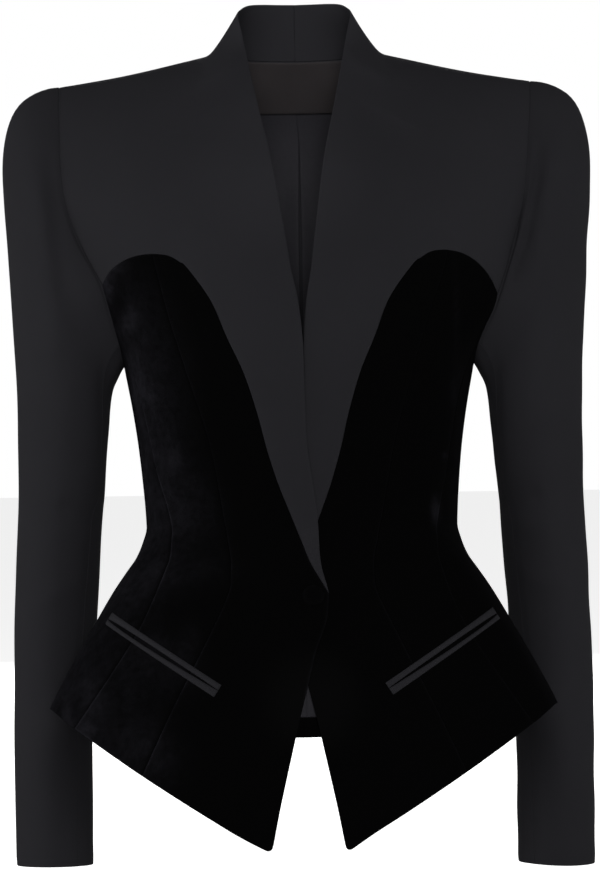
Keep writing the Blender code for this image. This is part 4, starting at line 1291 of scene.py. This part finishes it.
def label(places):
    """Blank label across the centre back, on the lining's points moved in."""
    stack, normal = back_stack(SIDES["R"], places)
    stack, normal = stack[:, :LABEL_COLUMNS], normal[:, :LABEL_COLUMNS]
    heights = LABEL_TOP - LABEL_DEPTH * np.linspace(0, 1, LABEL_ROWS)
    back_rows = np.arange(LABEL_BACK_ROWS)
    rows = np.stack([np.interp(-heights, -column, back_rows) for column in stack[back_rows, :, 2].T], axis=1)
    rows[0] -= (LABEL_TOP - NECK_BACK_HEIGHT) / (stack[0, :, 2] - stack[1, :, 2])
    deep = lining_depth(rows) + LINING_WALL + LABEL_CLEARANCE
    half = rows_at(stack, rows) - deep[..., None] * rows_at(normal, rows)
    full = np.concatenate([half[:, :0:-1], half * np.array([-1, 1, 1])], axis=1)
    return read_grid(full, lines(full, 0), lines(full, 1))


def body_normal(side, place):
    """Outward unit normal of the body from two small steps along it."""
    step, rise = np.array([NORMAL_TURN, 0.0]), np.array([0.0, NORMAL_RISE])
    across = body(side, place + step) - body(side, place - step)
    up = body(side, place + rise) - body(side, place - rise)
    return unit(np.cross(across, up) * side)


def pocket_jet(name, side, material):
    """A folded strip on one side of a slanted pocket mouth.

    The mouth is a slit that narrows to both ends; the strip runs from the slit's edge to its own width
    and its height over the panel is a half round across it.
    """
    along = np.linspace(0, 1, JET_ROWS)[:, None]
    across = (1 - np.cos(np.linspace(0, np.pi, JET_COLUMNS)))[None, :] / 2
    upper, lower = (np.array(POCKET_JETS[key]) for key in ("pocket_jet_upper", "pocket_jet_lower"))
    outer, inner = (upper + lower) / 2
    over = (upper - lower)[0] / np.linalg.norm((upper - lower)[0]) * (1 if "upper" in name else -1)
    wide = JET_SPREAD["upper" if "upper" in name else "lower"]
    slit = JET_SLIT * np.sin(np.pi * along ** JET_SLIT_SKEW) ** JET_SLIT_FULLNESS + JET_SLIT_LEAST
    width = wide[0] + (wide[1] - wide[0]) * along
    flat = outer + along[..., None] * (inner - outer) + (slit + (width - slit) * across)[..., None] * over
    place = np.stack([np.arcsin(flat[..., 0] / half_width(flat[..., 1])), flat[..., 1]], axis=-1)
    normal = body_normal(side, place)
    ends_in = np.sqrt(np.clip(1 - (2 * np.abs(along - 0.5)) ** JET_END_POWER, 0, 1))
    crown = JET_THICK * np.sqrt(1 - JET_CROWN * (2 * across - 1) ** 2)
    crown = crown * (JET_END_SHARE + (1 - JET_END_SHARE) * ends_in)
    low = body(side, place) + JET_LIFT * normal
    top = low + crown[..., None] * normal
    if (grid_normals(top) * normal).sum() < 0:
        top, low = top[:, ::-1], low[:, ::-1]
    piece, used = close_wall(name, top, low, whole(top), material)
    set_attribute(piece, "threads", np.concatenate([thread_lengths(top).reshape(-1, 3)] * 2)[used])
    return piece


def button(name, material):
    """Covered button: a domed profile carried round a circle, set on the right front along its normal."""
    side = SIDES["R"]
    place = np.array([np.arcsin(side * BUTTON_PLACE[0] / half_width(BUTTON_PLACE[1])), BUTTON_PLACE[1]])
    spot, normal = body(side, place), body_normal(side, place)
    base = spot - normal * BUTTON_SINK
    bow = np.linspace(0, np.pi / 2, BUTTON_RINGS)
    dome = BUTTON_SIDE + (1 - BUTTON_SIDE) * np.cos(bow) ** BUTTON_BOW[1]
    rim_radius, rim_height = np.array(BUTTON_RIM).T
    radius = np.concatenate([np.sin(bow) ** BUTTON_BOW[0], rim_radius])
    height = np.concatenate([dome, rim_height])
    turn = np.linspace(0, 2 * np.pi, BUTTON_SIDES, endpoint=False)
    aside = unit(np.cross(normal, np.array([0, 0, 1.0])))
    up = np.cross(aside, normal)
    circle = np.cos(turn)[:, None] * aside + np.sin(turn)[:, None] * up
    rings = (base + BUTTON_THICK * height[1:, None, None] * normal
             + BUTTON_RADIUS * radius[1:, None, None] * circle)
    count, steps = rings.shape[:2]
    numbers = np.arange(count * steps).reshape(count, steps)
    after = np.roll(numbers, -1, axis=1)
    quads = np.stack([numbers[:-1], numbers[1:], after[1:], after[:-1]], axis=-1).reshape(-1, 4)
    top, foot = count * steps, count * steps + 1
    caps = [np.stack([0 * numbers[0] + top, numbers[0], after[0]], axis=-1),
            np.stack([0 * numbers[0] + foot, after[-1], numbers[-1]], axis=-1)]
    points = np.concatenate([rings.reshape(-1, 3), [base + normal * BUTTON_THICK, base]])
    piece = smooth_mesh(name, points, quads.tolist() + np.concatenate(caps).tolist(), material)
    # Painted sheen that lifts the colour towards the button's rim
    rim_sheen = np.concatenate([np.repeat(radius[1:] ** 3, steps), [0.0, 0.0]])
    set_attribute(piece, "nap_and_sheen", BUTTON_NAP_AND_RIM_SHEEN[0] + BUTTON_NAP_AND_RIM_SHEEN[1] * rim_sheen)
    return piece


# Materials

def node_group(name, inputs, outputs):
    """A shader node group with named sockets; returns the tree and its two end nodes."""
    tree = bpy.data.node_groups.new(name, "ShaderNodeTree")
    for label_text, kind, value in inputs:
        socket = tree.interface.new_socket(label_text, in_out="INPUT", socket_type=kind)
        socket.default_value = value
    for label_text, kind in outputs:
        tree.interface.new_socket(label_text, in_out="OUTPUT", socket_type=kind)
    return tree, tree.nodes.new("NodeGroupInput"), tree.nodes.new("NodeGroupOutput")


def add(tree, kind, links=(), **values):
    """Add a node; links are (input, socket) pairs and values are its plain properties."""
    node = tree.nodes.new(kind)
    for key, value in values.items():
        setattr(node, key, value)
    for key, value in links:
        if hasattr(value, "is_output"):
            tree.links.new(value, node.inputs[key])
        else:
            node.inputs[key].default_value = value
    return node


def math(tree, operation, first, second=0.0):
    """One step of arithmetic between two sockets or numbers."""
    return add(tree, "ShaderNodeMath", [(0, first), (1, second)], operation=operation).outputs[0]


def scaled_sum(tree, first, share, second):
    """A share of the first value plus the second."""
    return math(tree, "ADD", math(tree, "MULTIPLY", first, share), second)


def noise(tree, where, scale, detail, *more):
    """Noise of a scale and a detail at a place."""
    links = [("Vector", where), ("Scale", scale), ("Detail", detail), *more]
    return add(tree, "ShaderNodeTexNoise", links).outputs["Fac"]


def blend(tree, share, first, second):
    """A colour between two colours by a share."""
    return add(tree, "ShaderNodeMix", [(0, share), (6, first), (7, second)], data_type="RGBA").outputs[2]


def weave_group():
    """Plain weave: the height is the larger of two sine waves of the thread lengths, roughened by noise."""
    tree, start, end = node_group("weave", [
        ("Threads", "NodeSocketFloat", 1800.0), ("Yarn", "NodeSocketFloat", 900.0),
        ("Dark", "NodeSocketColor", (0, 0, 0, 1)), ("Light", "NodeSocketColor", (1, 1, 1, 1)),
        ("Cloud", "NodeSocketFloat", 9.0),
    ], [("Color", "NodeSocketColor"), ("Height", "NodeSocketFloat")])
    threads = add(tree, "ShaderNodeAttribute", attribute_name="threads")
    where = add(tree, "ShaderNodeTexCoord").outputs["Object"]
    split = add(tree, "ShaderNodeSeparateXYZ", [(0, threads.outputs["Vector"])])
    turn = math(tree, "MULTIPLY", start.outputs["Threads"], 2 * np.pi)
    warp = math(tree, "SINE", math(tree, "MULTIPLY", split.outputs[0], turn))
    weft = math(tree, "SINE", math(tree, "MULTIPLY", split.outputs[1], turn))
    cross = math(tree, "MAXIMUM", warp, weft)
    height = scaled_sum(tree, cross, 0.3, noise(tree, where, start.outputs["Yarn"], 3.0))
    cloud = noise(tree, where, start.outputs["Cloud"], 4.0)
    share = scaled_sum(tree, height, 0.45, math(tree, "MULTIPLY", cloud, 0.55))
    ramp = add(tree, "ShaderNodeMapRange", [(0, share), (1, 0.3), (2, 0.85)])
    colour = blend(tree, ramp.outputs[0], start.outputs["Dark"], start.outputs["Light"])
    tree.links.new(colour, end.inputs["Color"])
    tree.links.new(height, end.inputs["Height"])
    return tree


def pile_group():
    """Velvet pile: short upright hairs as stretched noise, and clouds scaled by the lift, which carries pile
    lifted by brushing and painted sheen.
    """
    tree, start, end = node_group("pile", [
        ("Lift", "NodeSocketFloat", 0.0), ("Cloud", "NodeSocketFloat", 34.0),
        ("Mottle", "NodeSocketFloat", 150.0),
        ("Flat", "NodeSocketColor", (0, 0, 0, 1)), ("Raised pile and sheen", "NodeSocketColor", (1, 1, 1, 1)),
    ], [("Color", "NodeSocketColor"), ("Height", "NodeSocketFloat"), ("Pile and sheen", "NodeSocketFloat")])
    where = add(tree, "ShaderNodeTexCoord").outputs["Object"]
    stretched = add(tree, "ShaderNodeMapping", [("Vector", where), ("Scale", (2600.0, 2600.0, 700.0))])
    hair = noise(tree, stretched.outputs[0], 1.0, 2.0)
    cloud = noise(tree, where, start.outputs["Cloud"], 5.0, ("Roughness", 0.68), ("Distortion", 0.25))
    clear = add(tree, "ShaderNodeMapRange", [(0, cloud), (1, 0.34), (2, 0.7)],
                interpolation_type="SMOOTHSTEP")
    mottle = noise(tree, where, start.outputs["Mottle"], 3.0)
    fine = add(tree, "ShaderNodeMapRange", [(0, mottle), (1, 0.32), (2, 0.7)])
    patchy = scaled_sum(tree, clear.outputs[0], 0.38, scaled_sum(tree, fine.outputs[0], 0.42, 0.32))
    # The lift carries painted sheen as well as pile lifted by brushing; this share moves the colour towards
    # the lighter colour
    pile_and_sheen = math(tree, "MULTIPLY", start.outputs["Lift"], patchy)
    share = math(tree, "MULTIPLY", pile_and_sheen, scaled_sum(tree, hair, 0.7, 0.65))
    colour = blend(tree, share, start.outputs["Flat"], start.outputs["Raised pile and sheen"])
    tree.links.new(colour, end.inputs["Color"])
    tree.links.new(scaled_sum(tree, cloud, 0.5, hair), end.inputs["Height"])
    tree.links.new(pile_and_sheen, end.inputs["Pile and sheen"])
    return tree


def material_of(name, group, values, roughness, bump, shader_values):
    """A cloth material: the group's colour and height feed the shader, and constants sit on its sockets."""
    material = bpy.data.materials.new(name)
    material.use_nodes = True
    tree = material.node_tree
    shader = tree.nodes["Principled BSDF"]
    pattern = add(tree, "ShaderNodeGroup", node_tree=group)
    for key, value in values.items():
        pattern.inputs[key].default_value = value
    tree.links.new(pattern.outputs["Color"], shader.inputs["Base Color"])
    relief = add(tree, "ShaderNodeBump", [("Strength", bump[0]), ("Distance", bump[1]),
                                          ("Height", pattern.outputs["Height"])])
    tree.links.new(relief.outputs[0], shader.inputs["Normal"])
    rough = add(tree, "ShaderNodeMapRange", [(0, pattern.outputs["Height"]), (3, roughness[0]),
                                             (4, roughness[1])])
    tree.links.new(rough.outputs[0], shader.inputs["Roughness"])
    for key, value in shader_values.items():
        shader.inputs[key].default_value = value
    return material, pattern


weave = weave_group()
pile = pile_group()
crepe, _ = material_of("crepe", weave, {
    "Threads": 1500.0, "Yarn": 1300.0, "Cloud": 8.0,
    "Dark": (0.0094, 0.0092, 0.0106, 1), "Light": (0.0120, 0.0118, 0.0135, 1),
}, (0.95, 0.8), (0.35, 0.0004), {
    "Specular IOR Level": 0.03,
    "Sheen Weight": 0.004, "Sheen Roughness": 0.5, "Sheen Tint": (0.9, 0.9, 1, 1),
})
# The velvet's colour runs from its dark colour to its lighter colour by the nap attribute, which carries
# painted sheen, highlight and shade as well as brushing
velvet, velvet_pile = material_of("velvet", pile, {
    "Cloud": 48.0, "Mottle": 170.0,
    "Flat": (0.00102, 0.001, 0.00104, 1), "Raised pile and sheen": (0.0062, 0.0060, 0.0074, 1),
}, (0.95, 0.75), (0.5, 0.0008), {
    "Specular IOR Level": 0.0,
    "Sheen Weight": 0.004, "Sheen Roughness": 0.3, "Sheen Tint": (0.9, 0.88, 1, 1),
})
nap_and_sheen = add(velvet.node_tree, "ShaderNodeAttribute", attribute_name="nap_and_sheen")
velvet.node_tree.links.new(nap_and_sheen.outputs["Fac"], velvet_pile.inputs["Lift"])
satin, _ = material_of("lining_satin", weave, {
    "Threads": 2600.0, "Yarn": 300.0, "Cloud": 14.0,
    "Dark": (0.0095, 0.0091, 0.0110, 1), "Light": (0.0135, 0.0130, 0.0156, 1),
}, (0.75, 0.6), (0.15, 0.0003), {"Specular IOR Level": 0.06})
woven, _ = material_of("label_weave", weave, {
    "Threads": 1900.0, "Yarn": 700.0, "Cloud": 20.0,
    "Dark": (0.0125, 0.0110, 0.0116, 1), "Light": (0.0170, 0.0150, 0.0156, 1),
}, (0.8, 0.7), (0.3, 0.0003), {"Specular IOR Level": 0.05})

# Pieces

# Strength of the painted highlight along the seams of each velvet panel, higher up and lower down
PLAIN_HIGHLIGHT_STRENGTH = (0.2, 0.2)
SEAM_HIGHLIGHT_STRENGTH = {"front_side_velvet": (3.2, 2.4), "front_velvet": (0.9, 2.2)}
PANEL_CLOTH = {"crepe": (CREPE_WALL, crepe), "velvet": (VELVET_WALL, velvet)}
for tag, side in SIDES.items():
    places, velvet_line = torso_places(side)
    seed = SEEDS[tag]
    made = {}
    for name, place in places.items():
        kind = "crepe" if name == "back_upper" else "velvet"
        made[name] = cloth(f"{name}_{tag}_cloth", panel(side, place, name), *PANEL_CLOTH[kind], seed=seed,
                           seam_highlight_strength=SEAM_HIGHLIGHT_STRENGTH.get(name, PLAIN_HIGHLIGHT_STRENGTH), creases=CREASES[f"{kind}_{tag}"])
    points, keep = front_and_collar(side, velvet_line)
    made["front_upper"] = cloth(f"front_upper_{tag}_cloth", points, CREPE_WALL, crepe, keep=keep, seed=seed,
                                creases=CREASES["crepe_" + tag], pull=0.25)
    (over, under), centre = sleeve_pieces(side)
    made["upper_sleeve"] = cloth(f"upper_sleeve_{tag}_cloth", over, CREPE_WALL, crepe, centre, seed=seed + 1,
                                 creases=CREASES["sleeve_" + tag], pull=0.5, wave=0.8, furrowed=True)
    made["under_sleeve"] = cloth(f"under_sleeve_{tag}_cloth", under, CREPE_WALL, crepe, centre, seed=seed + 1,
                                 creases=CREASES["sleeve_" + tag], pull=0.5, wave=0.8)
    made["back_lining"] = cloth(f"back_lining_{tag}_cloth", lining(side, places), LINING_WALL, satin,
                                seed=seed + 2, pull=0.0, dip=0.5, wave=0.5)
    for name, piece in made.items():
        finish_piece(piece, f"{name}_{tag}")
    for name in POCKET_JETS:
        jet = pocket_jet(f"{name}_{tag}_strip", side, crepe)
        finish_piece(jet, f"{name}_{tag}")
    if tag == "R":
        tab = cloth("neck_label_cloth", label(places), LABEL_THICK, woven, pull=0.0, dip=0.4, wave=0.2)
        finish_piece(tab, "neck_label")
        covered = button("waist_button_covered", velvet)
        finish_piece(covered, "waist_button")

# Stage, light and camera, in metres

PHOTO_SPAN = 0.7308
SENSOR_WIDTH = 36.0
CAMERA_DISTANCE = 6.0
CAMERA_HEIGHT = -0.294
CAMERA_ROLL = -0.8
CAMERA_FAR = 200.0
FLOOR_HEIGHT = -0.672
FLOOR_RADIUS = 40.0
FLOOR_SIDES = 96
SPOT_RADIUS = 0.01
AMBIENT = 0.14
FLOOR_GLOW = 0.75

ring = np.linspace(0, 2 * np.pi, FLOOR_SIDES, endpoint=False)
disc = np.stack([FLOOR_RADIUS * np.cos(ring), FLOOR_RADIUS * np.sin(ring), 0 * ring + FLOOR_HEIGHT], axis=1)
floor_mesh = bpy.data.meshes.new("floor")
floor_mesh.from_pydata(disc, [], [list(range(FLOOR_SIDES))])
floor = put("floor", floor_mesh)
pale = bpy.data.materials.new("pale_floor")
pale.use_nodes = True
pale_shader = pale.node_tree.nodes["Principled BSDF"]
floor_looks = {"Base Color": (0.8, 0.8, 0.8, 1), "Roughness": 0.9, "Emission Color": (1, 1, 1, 1)}
for socket, value in floor_looks.items():
    pale_shader.inputs[socket].default_value = value
floor_seen = add(pale.node_tree, "ShaderNodeLightPath").outputs["Is Camera Ray"]
floor_glow = add(pale.node_tree, "ShaderNodeMapRange", [(0, floor_seen), (3, 0.0), (4, FLOOR_GLOW)])
pale.node_tree.links.new(floor_glow.outputs[0], pale_shader.inputs["Emission Strength"])
floor_mesh.materials.append(pale)

world = bpy.data.worlds.new("studio")
world.use_nodes = True
backdrop = world.node_tree.nodes["Background"]
backdrop.inputs["Color"].default_value = (1, 1, 1, 1)
seen = add(world.node_tree, "ShaderNodeLightPath").outputs["Is Camera Ray"]
glow = add(world.node_tree, "ShaderNodeMapRange", [(0, seen), (3, AMBIENT), (4, 1.0)])
world.node_tree.links.new(glow.outputs[0], backdrop.inputs["Strength"])
bpy.context.scene.world = world


def put_light(name, lamp, place, aim, power):
    """Put a lamp at a place and turn it to a point."""
    lamp.energy = power
    light = put(name, lamp)
    light.location = place
    light.rotation_euler = (Vector(place) - Vector(aim)).to_track_quat("Z", "Y").to_euler()


def soft_light(name, place, aim, size, power):
    """A square soft light."""
    lamp = bpy.data.lights.new(name, "AREA")
    lamp.size = size
    put_light(name, lamp, place, aim, power)


def spot_light(name, place, aim, degrees, power):
    """A narrow light with a soft edge that opens up a deep place."""
    lamp = bpy.data.lights.new(name, "SPOT")
    lamp.spot_size = np.radians(degrees)
    lamp.spot_blend = 1.0
    lamp.shadow_soft_size = SPOT_RADIUS
    put_light(name, lamp, place, aim, power)


soft_light("front", (0.2, -9.0, -0.2), (0, 0, -0.3), 0.8, 215)
soft_light("top", (0.1, -5.0, 2.0), (0, 0, -0.1), 2.4, 205)
soft_light("right_side", (-4.2, -0.4, 0.4), (0, 0, -0.3), 1.4, 135)
soft_light("left_side", (4.2, -0.4, 0.4), (0, 0, -0.3), 1.4, 72)
soft_light("back", (0, 5.5, 1.4), (0, 0, -0.3), 2.4, 160)
spot_light("neck", (0, -3.0, 1.9), (0, 0.07, 0.045), 2.8, 350)
spot_light("lining", (0, -3.2, 0.4), (-0.012, 0.08, -0.095), 3.0, 85)
spot_light("hem", (0.02, -6.0, -0.3), (0.006, 0.0, -0.517), 0.6, 1200)

camera = put("camera", bpy.data.cameras.new("camera"))
camera.data.lens = SENSOR_WIDTH * CAMERA_DISTANCE / PHOTO_SPAN
camera.location = (0, -CAMERA_DISTANCE, CAMERA_HEIGHT)
turned = Matrix.Rotation(np.pi / 2, 3, "X") @ Matrix.Rotation(np.radians(CAMERA_ROLL), 3, "Z")
camera.rotation_euler = turned.to_euler()
camera.data.clip_end = CAMERA_FAR
bpy.context.scene.camera = camera
bpy.context.scene.view_settings.view_transform = "Standard"
